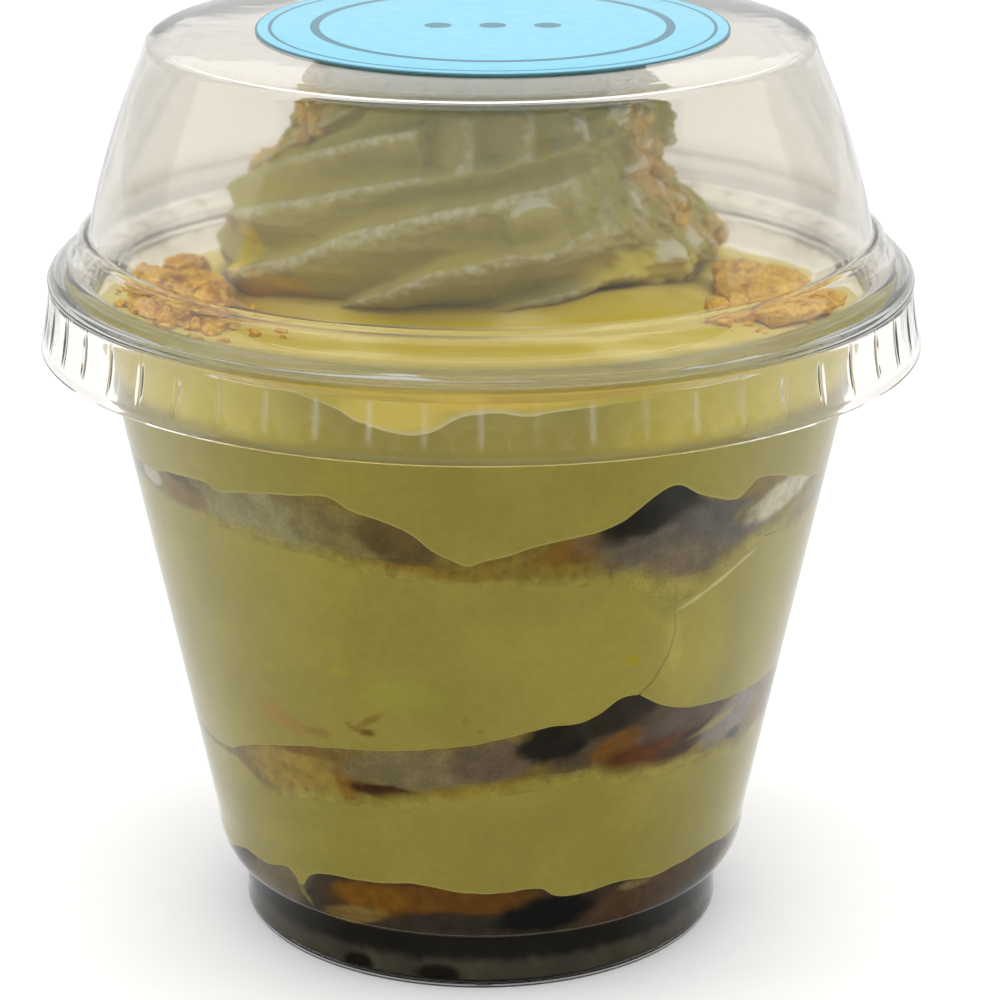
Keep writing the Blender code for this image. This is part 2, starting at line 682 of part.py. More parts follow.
# Pieces that show at the wall: name, then (angle, lower share, upper share) from end to end
UPPER_PIECES = (
    ("wafer_upper_left", ((-66, 0, 1), (-44, 0, 1))),
    ("banana_upper_left", ((-44, 0.12, 1), (-23, 0.2, 1), (-10, 0.5, 1), (-3, 0.7, 1))),
    ("wafer_upper_strip", ((-44, 0, 0.12), (-23, 0, 0.2), (-10, 0, 0.5), (-3, 0, 0.7))),
    ("wafer_upper_middle", ((-3, 0, 1), (19, 0, 1))),
    ("banana_upper_right", ((19, 0, 1), (38, 0, 1), (43, 0, 0.74), (46, 0, 0.4), (50, 0, 0.12))),
    ("wafer_upper_right", ((43, 0.74, 1), (46, 0.4, 1), (50, 0.12, 1), (58, 0, 1), (66, 0, 1))),
    ("banana_upper_side", ((66, 0, 1), (120, 0, 1))),
    ("wafer_upper_back", ((120, 0, 1), (165, 0, 1))),
    ("banana_upper_back", ((165, 0, 1), (225, 0, 1))),
    ("wafer_upper_side", ((225, 0, 1), (255, 0, 1))),
    ("banana_upper_edge", ((255, 0, 1), (294, 0, 1))),
)
LOWER_PIECES = (
    ("wafer_lower_left", ((-53, 0, 1), (-23, 0, 1))),
    ("banana_lower_middle", ((-23, 0.45, 1), (-3, 0.35, 1), (8, 0.3, 1))),
    ("wafer_lower_strip", ((-23, 0, 0.45), (-3, 0, 0.35), (8, 0, 0.3), (19, 0, 0.2))),
    ("banana_lower_dark", ((8, 0.3, 1), (19, 0.2, 1))),
    ("wafer_lower_right", ((19, 0, 0.48), (28, 0, 0.5), (38, 0, 0.4), (43, 0, 0.3))),
    ("banana_lower_right", ((19, 0.48, 1), (28, 0.5, 1), (38, 0.4, 1), (43, 0.3, 1))),
    ("banana_lower_edge", ((43, 0, 1), (66, 0, 1))),
    ("wafer_lower_side", ((66, 0, 1), (120, 0, 1))),
    ("banana_lower_back", ((120, 0, 1), (180, 0, 1))),
    ("wafer_lower_back", ((180, 0, 1), (225, 0, 1))),
    ("banana_lower_side", ((225, 0, 1), (270, 0, 1))),
)
BASE_PIECES = (
    ("banana_base_left", ((-78, 0, 1), (-40, 0, 1))),
    ("wafer_base_middle", ((-40, 0.14, 1), (-18, 0.28, 1), (-3, 0.45, 1), (8, 0.65, 1), (15, 0.8, 1))),
    ("banana_base_dark", ((-34, 0, 0.15), (-18, 0, 0.28), (-3, 0, 0.45), (8, 0, 0.65), (15, 0, 0.8))),
    ("banana_base_middle", ((15, 0, 1), (33, 0, 1))),
    ("wafer_base_right", ((33, 0, 1), (66, 0, 1))),
    ("banana_base_side", ((66, 0, 1), (135, 0, 1))),
    ("wafer_base_back", ((135, 0, 1), (210, 0, 1))),
    ("banana_base_back", ((210, 0, 1), (282, 0, 1))),
)


def main():
    for old in list(bpy.data.objects):
        bpy.data.objects.remove(old)
    pudding_cup = new_collection("banana_pudding")
    cutters = new_collection("cutters")
    cutters.hide_render = True
    clear = material("clear_plastic", (0.86, 0.89, 0.88), 0.06, 0.25)
    sticker = material("sticker_paper", (0.24, 0.66, 0.84), 0.5)
    pudding = material("pudding", (0.58, 0.52, 0.18), 0.4)
    custard = material("custard", (0.62, 0.46, 0.09), 0.35)
    cream = material("whipped_cream", (0.60, 0.60, 0.42), 0.6)
    wafer = material("wafer", (0.52, 0.27, 0.09), 0.8)
    banana = material("banana", (0.24, 0.21, 0.14), 0.5)
    mash = material("banana_mash", (0.40, 0.27, 0.08), 0.6)
    syrup = material("dark_syrup", (0.03, 0.025, 0.015), 0.2)

    build_cup(clear, pudding_cup)
    build_lid(clear, pudding_cup)
    build_label(sticker, pudding_cup)

    floor = level_surface(FLOOR / MM + 0.15)
    syrup_top = level_surface(SYRUP_TOP)
    base_top = surface(BASE_TOP)
    lower_bottom = surface(LOWER_FRUIT_BOTTOM)
    lower_top = surface(LOWER_FRUIT_TOP)
    upper_bottom = surface(UPPER_FRUIT_BOTTOM)
    upper_top = surface(UPPER_FRUIT_TOP)
    custard_bottom = surface(CUSTARD_BOTTOM)
    custard_top = surface(CUSTARD_TOP, flatness=4.0)
    core = CORE_SHARE - HALF_GAP_SHARE

    filling("dark_syrup", floor, syrup_top, syrup, pudding_cup)
    filling("fruit_base", syrup_top, base_top, mash, pudding_cup, reach=core)
    filling("pudding_bottom", base_top, lower_bottom, pudding, pudding_cup)
    filling("fruit_lower", lower_bottom, lower_top, mash, pudding_cup, reach=core)
    build_middle_dollops(lower_top, upper_bottom, pudding, pudding_cup, cutters)
    filling("fruit_upper", upper_bottom, upper_top, mash, pudding_cup, reach=core)
    filling("pudding_top", upper_top, custard_bottom, pudding, pudding_cup)
    filling("custard_cap", custard_bottom, custard_top, custard, pudding_cup)
    for pieces, bottom, top, rows in (
        (BASE_PIECES, syrup_top, base_top, 3),
        (LOWER_PIECES, lower_bottom, lower_top, 1),
        (UPPER_PIECES, upper_bottom, upper_top, 1),
    ):
        for name, columns in pieces:
            finish = wafer if name.startswith("wafer") else banana
            wall_piece(name, bottom, top, columns, finish, pudding_cup, rows)

    build_cream(custard_top, cream, pudding_cup)
    build_heap(custard_top, wafer, pudding_cup)
    build_wafer_piece(wafer, pudding_cup)


if __name__ == "__main__":
    main()
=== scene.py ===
"""Banana pudding in a clear dessert cup with a domed lid: the look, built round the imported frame.

Lengths are in metres with +Z up. The front faces -Y, and every angle is in degrees from the front
towards +X. The tables of the fillings give heights in millimetres at the cup's wall.
"""

import bisect
import math
import random

import bmesh
import bpy
from bpy.props import FloatProperty, FloatVectorProperty, IntProperty, PointerProperty
from mathutils import Matrix, Vector, noise


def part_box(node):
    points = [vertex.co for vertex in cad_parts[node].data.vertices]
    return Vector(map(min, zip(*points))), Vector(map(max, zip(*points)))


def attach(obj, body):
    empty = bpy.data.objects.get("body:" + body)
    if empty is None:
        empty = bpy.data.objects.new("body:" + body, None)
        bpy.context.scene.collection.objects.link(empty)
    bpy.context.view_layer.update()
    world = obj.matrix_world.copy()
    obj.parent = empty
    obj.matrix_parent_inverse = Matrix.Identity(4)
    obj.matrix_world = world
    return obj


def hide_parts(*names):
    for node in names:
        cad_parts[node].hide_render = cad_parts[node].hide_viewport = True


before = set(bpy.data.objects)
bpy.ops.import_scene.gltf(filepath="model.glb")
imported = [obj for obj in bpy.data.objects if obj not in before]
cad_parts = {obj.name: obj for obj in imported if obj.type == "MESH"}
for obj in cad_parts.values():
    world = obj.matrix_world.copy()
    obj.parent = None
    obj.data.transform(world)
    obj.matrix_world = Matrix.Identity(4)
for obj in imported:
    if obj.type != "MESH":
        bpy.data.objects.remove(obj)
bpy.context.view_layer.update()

bl_info = {
    "name": "Banana Pudding Cup",
    "version": (1, 0, 0),
    "blender": (4, 5, 0),
    "location": "3D View > Sidebar > Pudding",
    "description": "Builds a layered banana pudding in a clear cup with a domed lid",
    "category": "Object",
}

MM = 0.001

CUP_LOW, CUP_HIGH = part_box("cup")
LID_LOW, LID_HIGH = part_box("lid")
LABEL_LOW, LABEL_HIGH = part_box("label")

# Camera: a long lens that looks down on the cup from the front
CAMERA_PLACE = (0.0, -0.3685, 0.17457)
CAMERA_DIP = 18.93
CAMERA_LENS = 122.4
CAMERA_SHIFT = 0.0191

# Cup profile that the fillings follow
CUP_WALL = 0.6 * MM
FOOT_RADIUS = 27.65 * MM
FOOT_TOP = 6.4 * MM
FOOT_RECESS = 0.35 * MM
CREASE_RADIUS = 28.0 * MM
SHOULDER_TOP = 12.2 * MM
SHOULDER_RADIUS = 30.92 * MM
SHOULDER_DEPTH = 5.6 * MM
TAPER = 0.2009
BEAD_HEIGHT = 75.35 * MM
DARK_FOOT_TOP = 7.4

# Heights of the lid's folded ledge and of its dome, and how hazy and how rough its sheet is
LEDGE_LOW, LEDGE_HIGH = 75.4 * MM, 78.3 * MM
DOME_LOW, DOME_HIGH = 81.5 * MM, 101.0 * MM
LID_HAZE = 0.02
PET_ROUGHNESS, DOME_ROUGHNESS = 0.03, 0.06
UNDER_DOME_GLOSS = 0.03
SLIT_LOW, SLIT_HIGH = 69.8 * MM, 75.0 * MM

# Strength of the floor's light in reflections, and plain white light
FLOOR_GLOW = 0.9
WHITE = (1.0, 1.0, 1.0, 1.0)

# Where one layer ends and the next begins: the height at the axis, then (angle, height) pairs
BASE_TOP = (12.6, (
    (-74, 9.6), (-60.1, 11.4), (-51.1, 11.4), (-44.8, 12.3), (-42.7, 11.6), (-40.5, 10.6), (-38.6, 12.0),
    (-35.3, 13.0), (-28, 13.4), (-19.7, 13.7), (-13.4, 14.1), (-5.9, 13.5), (-2.2, 13.2), (5.2, 13.3),
    (8.9, 13.6), (12.6, 13.5), (15.1, 12.5), (20.6, 12.1), (28.9, 12.8), (38.5, 12.1), (43.7, 12.3),
    (56.2, 12.7), (65.7, 12.0), (90, 12.2), (150, 12.6), (220, 12.4), (270, 11.5),
))
LOWER_FRUIT_BOTTOM = (25.2, (
    (-66, 24.3), (-55.2, 24.4), (-51.7, 23.1), (-47.2, 21.6), (-37.9, 22.6), (-30, 23.2), (-23.8, 23.5),
    (-14, 23.9), (-7.7, 25.0), (-0.2, 25.6), (7.3, 26.3), (14.9, 26.9), (21.1, 27.4), (22.8, 26.9),
    (26.3, 26.0), (31.6, 25.8), (39.3, 25.9), (47.2, 25.5), (57.4, 24.7), (66, 25.2), (120, 24.8),
    (180, 25.8), (230, 24.6),
))
LOWER_FRUIT_TOP = (31.0, (
    (-66, 25.0), (-55.9, 25.5), (-46.8, 27.5), (-35.7, 29.3), (-27.4, 30.2), (-14.7, 31.1), (-7.3, 31.8),
    (-0.2, 32.5), (6.9, 33.6), (12.6, 34.4), (17.7, 34.4), (21.3, 35.4), (24.9, 36.8), (28.1, 36.9),
    (29.9, 36.2), (33.6, 34.9), (37.5, 33.9), (43.8, 33.2), (49.7, 32.8), (65.9, 32.1), (120, 31.0),
    (180, 31.4), (230, 29.6),
))
UPPER_FRUIT_BOTTOM = (53.0, (
    (-66, 55.6), (-59, 55.3), (-51.5, 55.4), (-46.1, 55.0), (-39.3, 54.5), (-31.8, 54.2), (-23.4, 53.8),
    (-16.4, 52.7), (-3, 52.2), (4.3, 52.2), (11.7, 51.9), (19.5, 51.4), (24.5, 50.6), (30.2, 48.5),
    (33.2, 47.5), (37.9, 48.5), (43.7, 50.1), (52, 52.2), (63.2, 51.6), (120, 53.5), (180, 52.0),
    (240, 53.6),
))
UPPER_FRUIT_TOP = (58.5, (
    (-66, 57.7), (-56.6, 58.9), (-45.9, 59.7), (-44.5, 59.0), (-37.6, 59.9), (-30.3, 60.6), (-23, 61.3),
    (-19.4, 60.0), (-14.3, 59.0), (-10.1, 57.6), (-7.3, 56.0), (-3.7, 54.6), (-1.9, 54.2), (0.3, 54.8),
    (4.2, 55.5), (7.8, 56.4), (13.5, 57.1), (18.7, 57.8), (21.6, 58.6), (23.8, 59.7), (26.7, 61.2),
    (29, 61.9), (31.1, 61.7), (34.5, 60.2), (38.5, 59.1), (42.8, 58.4), (44.6, 59.2), (47, 60.2),
    (58.3, 58.1), (70.8, 56.1), (120, 58.8), (180, 57.6), (240, 58.8),
))
CUSTARD_BOTTOM = (72.0, (
    (-66, 72.6), (-40, 73.2), (-27, 72.9), (-19.7, 71.5), (-17.7, 70.6), (-15.1, 69.9), (-10.3, 69.2),
    (-7.8, 69.4), (-5.7, 70.0), (-3.5, 71.1), (-1.9, 71.7), (2.6, 71.9), (6.3, 71.5), (10.9, 71.9),
    (22.5, 72.4), (58, 72.6), (120, 68.2), (180, 66.6), (240, 68.6),
))
CUSTARD_TOP = (75.4, (
    (-60, 74.3), (0, 75.1), (60, 74.4), (90, 72.4), (120, 70.4), (180, 69.0), (240, 70.6), (270, 72.4),
))

# The seam of the two dollops, as (angle, height) at the front, and its angle at the back
SEAM = ((30.0, 26.0), (37.4, 28.6), (41.0, 33.0), (44.0, 33.8), (47.9, 32.6), (60.0, 33.0))
BACK_SEAM = 150.0

# Pieces at the wall: node, finish, then (angle, lower share, upper share) from end to end
UPPER_PIECES = (
    ("wafer_upper_left", "wafer", ((-66, 0, 1), (-44, 0, 1))),
    ("banana_upper_left", "banana_pale", ((-44, 0.12, 1), (-23, 0.2, 1), (-10, 0.5, 1), (-3, 0.7, 1))),
    ("wafer_upper_strip", "wafer_gold", ((-44, 0, 0.12), (-23, 0, 0.2), (-10, 0, 0.5), (-3, 0, 0.7))),
    ("wafer_upper_middle", "wafer", ((-3, 0, 1), (19, 0, 1))),
    ("banana_upper_right", "banana_dark", (
        (19, 0, 1), (38, 0, 1), (43, 0, 0.74), (46, 0, 0.4), (50, 0, 0.12),
    )),
    ("wafer_upper_right", "wafer_pale", (
        (43, 0.74, 1), (46, 0.4, 1), (50, 0.12, 1), (58, 0, 1), (66, 0, 1),
    )),
    ("banana_upper_side", "banana_pale", ((66, 0, 1), (120, 0, 1))),
    ("wafer_upper_back", "wafer", ((120, 0, 1), (165, 0, 1))),
    ("banana_upper_back", "banana_dark", ((165, 0, 1), (225, 0, 1))),
    ("wafer_upper_side", "wafer_gold", ((225, 0, 1), (255, 0, 1))),
    ("banana_upper_edge", "banana_pale", ((255, 0, 1), (294, 0, 1))),
)
LOWER_PIECES = (
    ("wafer_lower_left", "wafer_gold", ((-53, 0, 1), (-23, 0, 1))),
    ("banana_lower_middle", "banana_pale", ((-23, 0.45, 1), (-3, 0.35, 1), (8, 0.3, 1))),
    ("wafer_lower_strip", "wafer_gold", ((-23, 0, 0.45), (-3, 0, 0.35), (8, 0, 0.3), (19, 0, 0.2))),
    ("banana_lower_dark", "banana_dark", ((8, 0.3, 1), (19, 0.2, 1))),
    ("wafer_lower_right", "wafer", ((19, 0, 0.48), (28, 0, 0.5), (38, 0, 0.4), (43, 0, 0.3))),
    ("banana_lower_right", "banana_dark", ((19, 0.48, 1), (28, 0.5, 1), (38, 0.4, 1), (43, 0.3, 1))),
    ("banana_lower_edge", "banana_pale", ((43, 0, 1), (66, 0, 1))),
    ("wafer_lower_side", "wafer", ((66, 0, 1), (120, 0, 1))),
    ("banana_lower_back", "banana_dark", ((120, 0, 1), (180, 0, 1))),
    ("wafer_lower_back", "wafer_gold", ((180, 0, 1), (225, 0, 1))),
    ("banana_lower_side", "banana_pale", ((225, 0, 1), (270, 0, 1))),
)
BASE_PIECES = (
    ("banana_base_left", "banana_pale", ((-78, 0, 1), (-40, 0, 1))),
    ("wafer_base_middle", "wafer", (
        (-40, 0.14, 1), (-18, 0.28, 1), (-3, 0.45, 1), (8, 0.65, 1), (15, 0.8, 1),
    )),
    ("banana_base_dark", "banana_dark", (
        (-34, 0, 0.15), (-18, 0, 0.28), (-3, 0, 0.45), (8, 0, 0.65), (15, 0, 0.8),
    )),
    ("banana_base_middle", "banana_dark", ((15, 0, 1), (33, 0, 1))),
    ("wafer_base_right", "wafer", ((33, 0, 1), (66, 0, 1))),
    ("banana_base_side", "banana_pale", ((66, 0, 1), (135, 0, 1))),
    ("wafer_base_back", "wafer", ((135, 0, 1), (210, 0, 1))),
    ("banana_base_back", "banana_dark", ((210, 0, 1), (282, 0, 1))),
)

# Soft strokes of colour at the wall: angle, height, half length, half width, tilt, colour, strength. The
# near-black strokes are painted shade in the air pockets between the slices and wafers.
UPPER_STROKES = (
    # A painted glint: the whitish stroke at the left end of the upper band
    (-64, 57.3, 2.6, 1.0, 0, "A8A592", 0.8),
    (-51.3, 59.0, 5.6, 1.4, -15, "42320F", 0.9),
    (-51.2, 56.6, 4.0, 1.9, -10, "6F5622", 0.9),
    (-35.7, 57.2, 8.6, 3.7, -12, "807851", 1),
    (-21, 57.1, 6.2, 3.1, -20, "72673E", 0.9),
    (-13.0, 56.6, 4.6, 2.3, -32, "544624", 0.9),
    (-12.6, 53.2, 11.0, 1.2, -5, "816823", 0.8),
    (6, 53.6, 8.6, 1.8, 3, "7A6728", 0.8),
    (15.6, 56.0, 4.4, 1.7, 14, "6C4E1A", 0.9),
    (32.5, 55.6, 9.5, 4.6, -4, "5D5446", 1),
    # Painted shade in the air pockets by the dark banana
    (27, 59.6, 6.0, 2.7, 25, "1D1B12", 1),
    (29.2, 60.9, 2.6, 1.5, 0, "26241A", 1),
    (34.5, 58.4, 3.4, 1.5, -20, "2B2820", 0.9),
    (41.0, 56.4, 6.0, 2.4, -12, "524E48", 0.95),
    (31.3, 52.4, 6.0, 2.1, 12, "675944", 0.9),
    (32, 49.3, 4.6, 1.5, 0, "8C8144", 0.85),
    (46.1, 56.2, 2.2, 1.4, 0, "6F622D", 0.7),
    (56.7, 57.0, 6.5, 1.9, 15, "B2AD93", 0.9),
    (60, 54.0, 7.0, 1.7, 15, "7D7038", 0.8),
    (72.7, 52.3, 2.2, 1.1, 0, "82868F", 0.9),
)
LOWER_STROKES = (
    (-37.3, 25.7, 7.4, 3.2, 0, "8A7530", 1),
    (-25.6, 27, 1.4, 3.4, 0, "765518", 0.9),
    (-35.7, 29.2, 7.4, 0.7, 0, "6B521D", 0.8),
    (-53.7, 23.2, 1.5, 2.8, -50, "75592C", 0.8),
    (-11.5, 29.0, 9.5, 2.7, 4, "716644", 1),
    (2.4, 30.4, 5.4, 2.5, 10, "5C4E3E", 0.95),
    (-17.3, 25.7, 4.6, 1.0, -5, "3B210D", 1),
    (4.5, 26.5, 10.0, 1.2, 5, "857026", 0.9),
    (-25.8, 22.2, 1.7, 1.2, -40, "85713A", 0.7),
    (31.0, 31.6, 12.5, 4.3, 8, "4B3E2C", 1),
    # Painted shade in the air pockets between the slices
    (13.4, 32.6, 4.2, 2.6, 15, "1B1810", 1),
    (24.6, 35.0, 5.6, 2.2, 15, "2B2519", 1),
    (38.0, 32.1, 9.4, 1.9, 10, "54453A", 0.9),
    (24.7, 30.9, 3.6, 1.5, 25, "6A4716", 0.9),
    (31.5, 28.3, 6.8, 2.4, 8, "552F10", 1),
    (42.5, 29.4, 4.4, 1.3, 20, "3A2A1C", 0.9),
    (55.0, 30.3, 6.4, 2.6, 20, "77716A", 0.9),
    (56.2, 27.5, 1.4, 0.7, 0, "30343A", 0.8),
    (49.5, 30.4, 4.4, 0.5, 12, "96884A", 0.6),
    (35.0, 26.4, 8.0, 0.5, 2, "9A8B4A", 0.7),
)
BASE_STROKES = (
    (-49.7, 9.9, 7.5, 3.6, 30, "685C44", 1),
    (-10.2, 11.8, 13.5, 2.6, 3, "603E0D", 1),
    (-23.8, 11.6, 5.0, 1.8, 0, "734D0D", 0.8),
    (-28.1, 8.8, 5.0, 1.2, 10, "806931", 0.8),
    # Painted shade in the air pockets of the base band
    (-5.4, 9.4, 7.5, 1.4, 0, "2D2921", 0.9),
    (14.6, 10.2, 7.0, 2.4, 5, "0D0D0D", 1),
    (40, 11, 11.5, 3.2, 15, "4A3724", 1),
    (33.6, 12, 2.6, 0.5, 0, "73693E", 0.7),
    (68.3, 8.7, 7.0, 2.6, 30, "6F6451", 0.9),
    (-40.6, 10.0, 1.9, 0.4, -62, "857A40", 0.9),
)
PUDDING_STROKES = (
    (-40.3, 33.2, 2.2, 1.5, -15, "94793A", 0.8),
    (-35.8, 32.3, 1.8, 1.2, -25, "91763A", 0.75),
    (-30.2, 32.1, 1.7, 0.6, 0, "856C2F", 0.8),
    (-19.9, 34.6, 1.9, 0.45, 35, "7D6429", 0.8),
    (-22.6, 33.4, 1.3, 0.35, -30, "775D26", 0.8),
    (-20.3, 33.2, 0.8, 0.5, 0, "5C4413", 0.9),
    (-39.1, 39, 0.9, 0.6, 0, "95912F", 0.6),
    (-24.6, 40.3, 1.0, 0.7, 0, "938F31", 0.5),
    (-13.1, 38.2, 4.4, 2.0, 0, "909035", 0.35),
    (-2.6, 35.5, 0.6, 0.5, 0, "867526", 0.7),
    (0, 34.3, 0.4, 0.3, 0, "826E26", 0.8),
    (26.1, 41.5, 0.7, 0.6, 0, "91840F", 0.9),
    (-62.4, 19.1, 1.0, 1.2, 0, "8A7239", 0.6),
    (-58, 44, 1.0, 9.0, 0, "9C8A40", 0.4),
    (39.5, 41.5, 4.6, 7.5, 10, "9C9240", 0.6),
    (29.5, 46.2, 2.0, 0.6, -40, "9C913A", 0.45),
    (-40, 17, 9.0, 2.0, 5, "948B3E", 0.5),
    # Painted highlight: two thin pale lines along the upper part of the dollops' seam
    (38.9, 48.0, 3.6, 0.2, 24, "C8C493", 0.55),
    (44.6, 49.8, 3.4, 0.2, 25, "C8C493", 0.55),
    (34.2, 42.6, 0.9, 3.8, 8, "A69E50", 0.4),
)
CUSTARD_STROKES = (
    (-3, 73.9, 10.5, 1.7, 0, "ECCE54", 0.95),
    (12, 74.4, 7.0, 1.1, 0, "D0B03C", 0.75),
    (-12, 71.6, 4.6, 1.9, 0, "E6D260", 0.9),
    (-30, 74.0, 6.0, 1.0, 0, "CBAA42", 0.6),
    (40, 74.0, 9.0, 0.9, 0, "CDB04A", 0.5),
)
DARK_FOOT_STROKES = (
    (0, 0.6, 400, 2.9, 0, "454034", 0.9),
    (-30.3, 1.5, 2.7, 1.2, 0, "140900", 1),
    (-10.1, 1.5, 3.4, 1.2, 0, "140900", 1),
)

# Tones for the strokes of the pieces behind: the main one first
BACK_TONES = {
    "banana_pale": ("7A724C", "807851", "6C6138", "5D5446"),
    "banana_dark": ("463A26", "2B2519", "5D5446", "54453A"),
    "wafer": ("5E4A22", "6C4E1A", "4A360D", "75592C"),
    "wafer_gold": ("7D6B2C", "8A7530", "75592C", "6C4E1A"),
    "wafer_pale": ("7D7038", "B2AD93", "6F622D", "807851"),
}

# Strokes on the cream, as at the wall
CREAM_STROKES = (
    (-65.3, 81.4, 2.2, 2.6, 0, "CCB41C", 1),
    (-52.8, 77.8, 4.4, 2.4, 0, "C4A404", 1),
    (-36.1, 80.7, 3.6, 1.4, 0, "B0A648", 0.6),
    (-7.2, 83.1, 7.4, 1.2, 5, "A69B46", 0.6),
    (-70.7, 96.2, 3.0, 4.4, 0, "C6AA62", 0.8),
    (-58, 97.5, 2.0, 3.0, 0, "C9AE6A", 0.6),
    (-100.7, 87.2, 2.4, 1.0, 30, "CBA268", 0.7),
    (57.8, 96.1, 3.6, 3.6, 0, "CDB273", 0.75),
    (58, 90.1, 3.8, 3.2, 0, "CCA76A", 0.8),
    (69.1, 84.5, 3.6, 2.8, 0, "CFAF74", 0.7),
    (80, 79.5, 2.6, 1.6, 0, "CBA86C", 0.6),
    (-71.1, 84, 1.3, 0.8, 0, "8A6E3E", 0.9),
    (18.6, 94.3, 1.0, 1.1, 0, "BFA830", 0.8),
    (43, 79.8, 7.4, 3.0, 0, "CDBE50", 0.8),
    (28, 81.5, 3.0, 0.9, 10, "B98F4A", 0.5),
    (-15.6, 77.2, 7.4, 1.3, 0, "B9AD3E", 0.7),
    (27, 89.0, 3.0, 0.8, 100, "C4BF9E", 0.3),
    (34, 86.0, 3.2, 0.8, 60, "C4BF9E", 0.3),
    (24, 83.6, 3.6, 0.7, 12, "C4BF9E", 0.4),
    (47, 87.0, 3.0, 1.6, 80, "C4BF9E", 0.4),
    (4.7, 78.2, 5.4, 1.3, 0, "AFA548", 0.7),
)

# How far each kind of filling is pressed into the wall, so that no air shows between
MASH_BITE = 0.04 * MM
FRUIT_BITE = 0.12 * MM
PUDDING_BITE = 0.25 * MM
FLUSH_BITE = 0.14 * MM

# How far fruit runs on behind the pudding, and the cup's radius that sizes at the wall are measured on
TUCK = 0.5 * MM
WALL_REACH = 33 * MM


def linear(code):
    """The linear colour of an sRGB hex code."""
    parts = [int(code[i:i + 2], 16) / 255 for i in (0, 2, 4)]
    return tuple(c / 12.92 if c <= 0.04045 else ((c + 0.055) / 1.055) ** 2.4 for c in parts)


def length(name, default, description):
    return FloatProperty(name=name, description=description, default=default, unit="LENGTH", precision=5)


def colour(name, code, description):
    return FloatVectorProperty(
        name=name, description=description, default=linear(code), subtype="COLOR", min=0, max=1
    )


def lamp_power(name, default, description):
    return FloatProperty(name=name, description=description, default=default, min=0, unit="POWER")


def light_level(name, default, description):
    return FloatProperty(name=name, description=description, default=default, min=0)


class PuddingCupSizes(bpy.types.PropertyGroup):
    cup_height: length("Cup height", CUP_HIGH.z, "Height of the cup's rim")
    rim_radius: length("Rim radius", CUP_HIGH.x, "Radius over the rolled rim")
    lid_top: length("Lid top", LID_HIGH.z, "Height of the lid's flat top")
    skirt_radius: length("Skirt radius", LID_HIGH.x, "Radius of the lid's skirt at its foot")
    skirt_bottom: length("Skirt bottom", LID_LOW.z, "Height of the skirt's lower edge")
    lid_wall: length("Lid wall", 0.5 * MM, "Thickness of the lid's sheet")
    flutes: IntProperty(name="Flutes", description="Slits round the lid's skirt", default=54, min=12)
    flute_depth: length("Flute depth", 0.15 * MM, "How far each slit is pressed in")
    label_radius: length("Label radius", (LABEL_HIGH.x - LABEL_LOW.x) / 2, "Radius of the sticker")


class PuddingFoodSizes(bpy.types.PropertyGroup):
    steps: IntProperty(name="Steps", description="Points round each filling", default=640, min=60)
    folds: IntProperty(name="Folds", description="Folds round the cream", default=9, min=3)
    crumb_size: length("Crumb size", 1.6 * MM, "Usual size of a loose crumb")
    heap_crumbs: IntProperty(name="Heap crumbs", description="Loose crumbs on the heap", default=120, min=0)


class PuddingStage(bpy.types.PropertyGroup):
    surround: light_level("Surround", 0.45, "Strength of the even light all round")
    backdrop: light_level("Backdrop", 0.8, "Strength of the pale room that the camera and the gloss see")
    sides: lamp_power("Side boxes", 2.5, "Power of each side lamp")
    back: lamp_power("Back box", 4.0, "Power of the lamp behind")
    top: lamp_power("Top box", 29.0, "Power of the lamp above")
    strip: lamp_power("Front strip", 1.2, "Power of the narrow front lamp")


class PuddingColours(bpy.types.PropertyGroup):
    pet: colour("PET cup", "F4F1E9", "Clear plastic of the cup")
    # Painted shade: the lid's tint is greyer than the cup's, for the darker room that the dome reflects
    pet_lid: colour("PET lid", "E4E1DB", "Clear plastic of the lid")
    # Painted shade: the ledge's tint is greyer, for the several faces that lie behind one another
    pet_ledge_shade: colour("PET ledge", "B6B8B4", "Clear plastic of the lid's folded ledge")
    pudding: colour("Pudding", "8D843C", "Pudding layers")
    # Brighter pudding near the rim: partly its own colour, partly painted light that is strongest at the
    # sides
    pudding_top: colour("Pudding near the rim", "CDC04E", "Brighter pudding at the top of the cup")
    # Painted highlight along the thin lower rims of the pudding
    pudding_rim_highlight: colour("Pale pudding", "ABA35F", "Thin rims of pudding")
    custard: colour("Custard", "C2AE34", "Top layer")
    custard_pale: colour("Pale custard", "E4D588", "Streaks in the top layer")
    # Painted highlight along the custard's thin lower edge
    custard_edge_highlight: colour("Custard edge", "E0DAB0", "Thin lower edge of the top layer")
    cream: colour("Cream", "A59C5B", "Whipped cream")
    cream_stain: colour("Stained cream", "C4AC74", "Cream stained by wafer crumbs")
    # Painted highlight on the cream's crests, curds and knob rim
    cream_crest_highlight: colour("Cream crests", "D8D6CA", "Torn pale crests of the cream")
    # Painted shade low in the cream's folds, where thin cream also lets yellow through
    cream_fold_shade: colour("Cream folds", "A89F4A", "Thin cream between folds")
    wafer_dry: colour("Dry wafer", "E0B444", "Crumbs and broken wafer on top")
    wafer_crust: colour("Wafer crust", "BA7C24", "Baked outside of the wafers on top")
    banana_dark: colour("Dark banana", "3A3020", "Browned banana")
    mash: colour("Mash", "74632A", "Banana and wafer mash between the slices")
    syrup: colour("Dark foot", "15130E", "Dark syrup in the foot")
    # Near-black colour of the fill in the foot
    sticker: colour("Sticker", "5CB1CA", "Sticker paper")
    ink: colour("Ink", "2A5A6C", "Print on the sticker")


def polar(angle, radius, height):
    """The point at this angle from the front, towards +X."""
    turn = math.radians(angle)
    return Vector((radius * math.sin(turn), -radius * math.cos(turn), height))


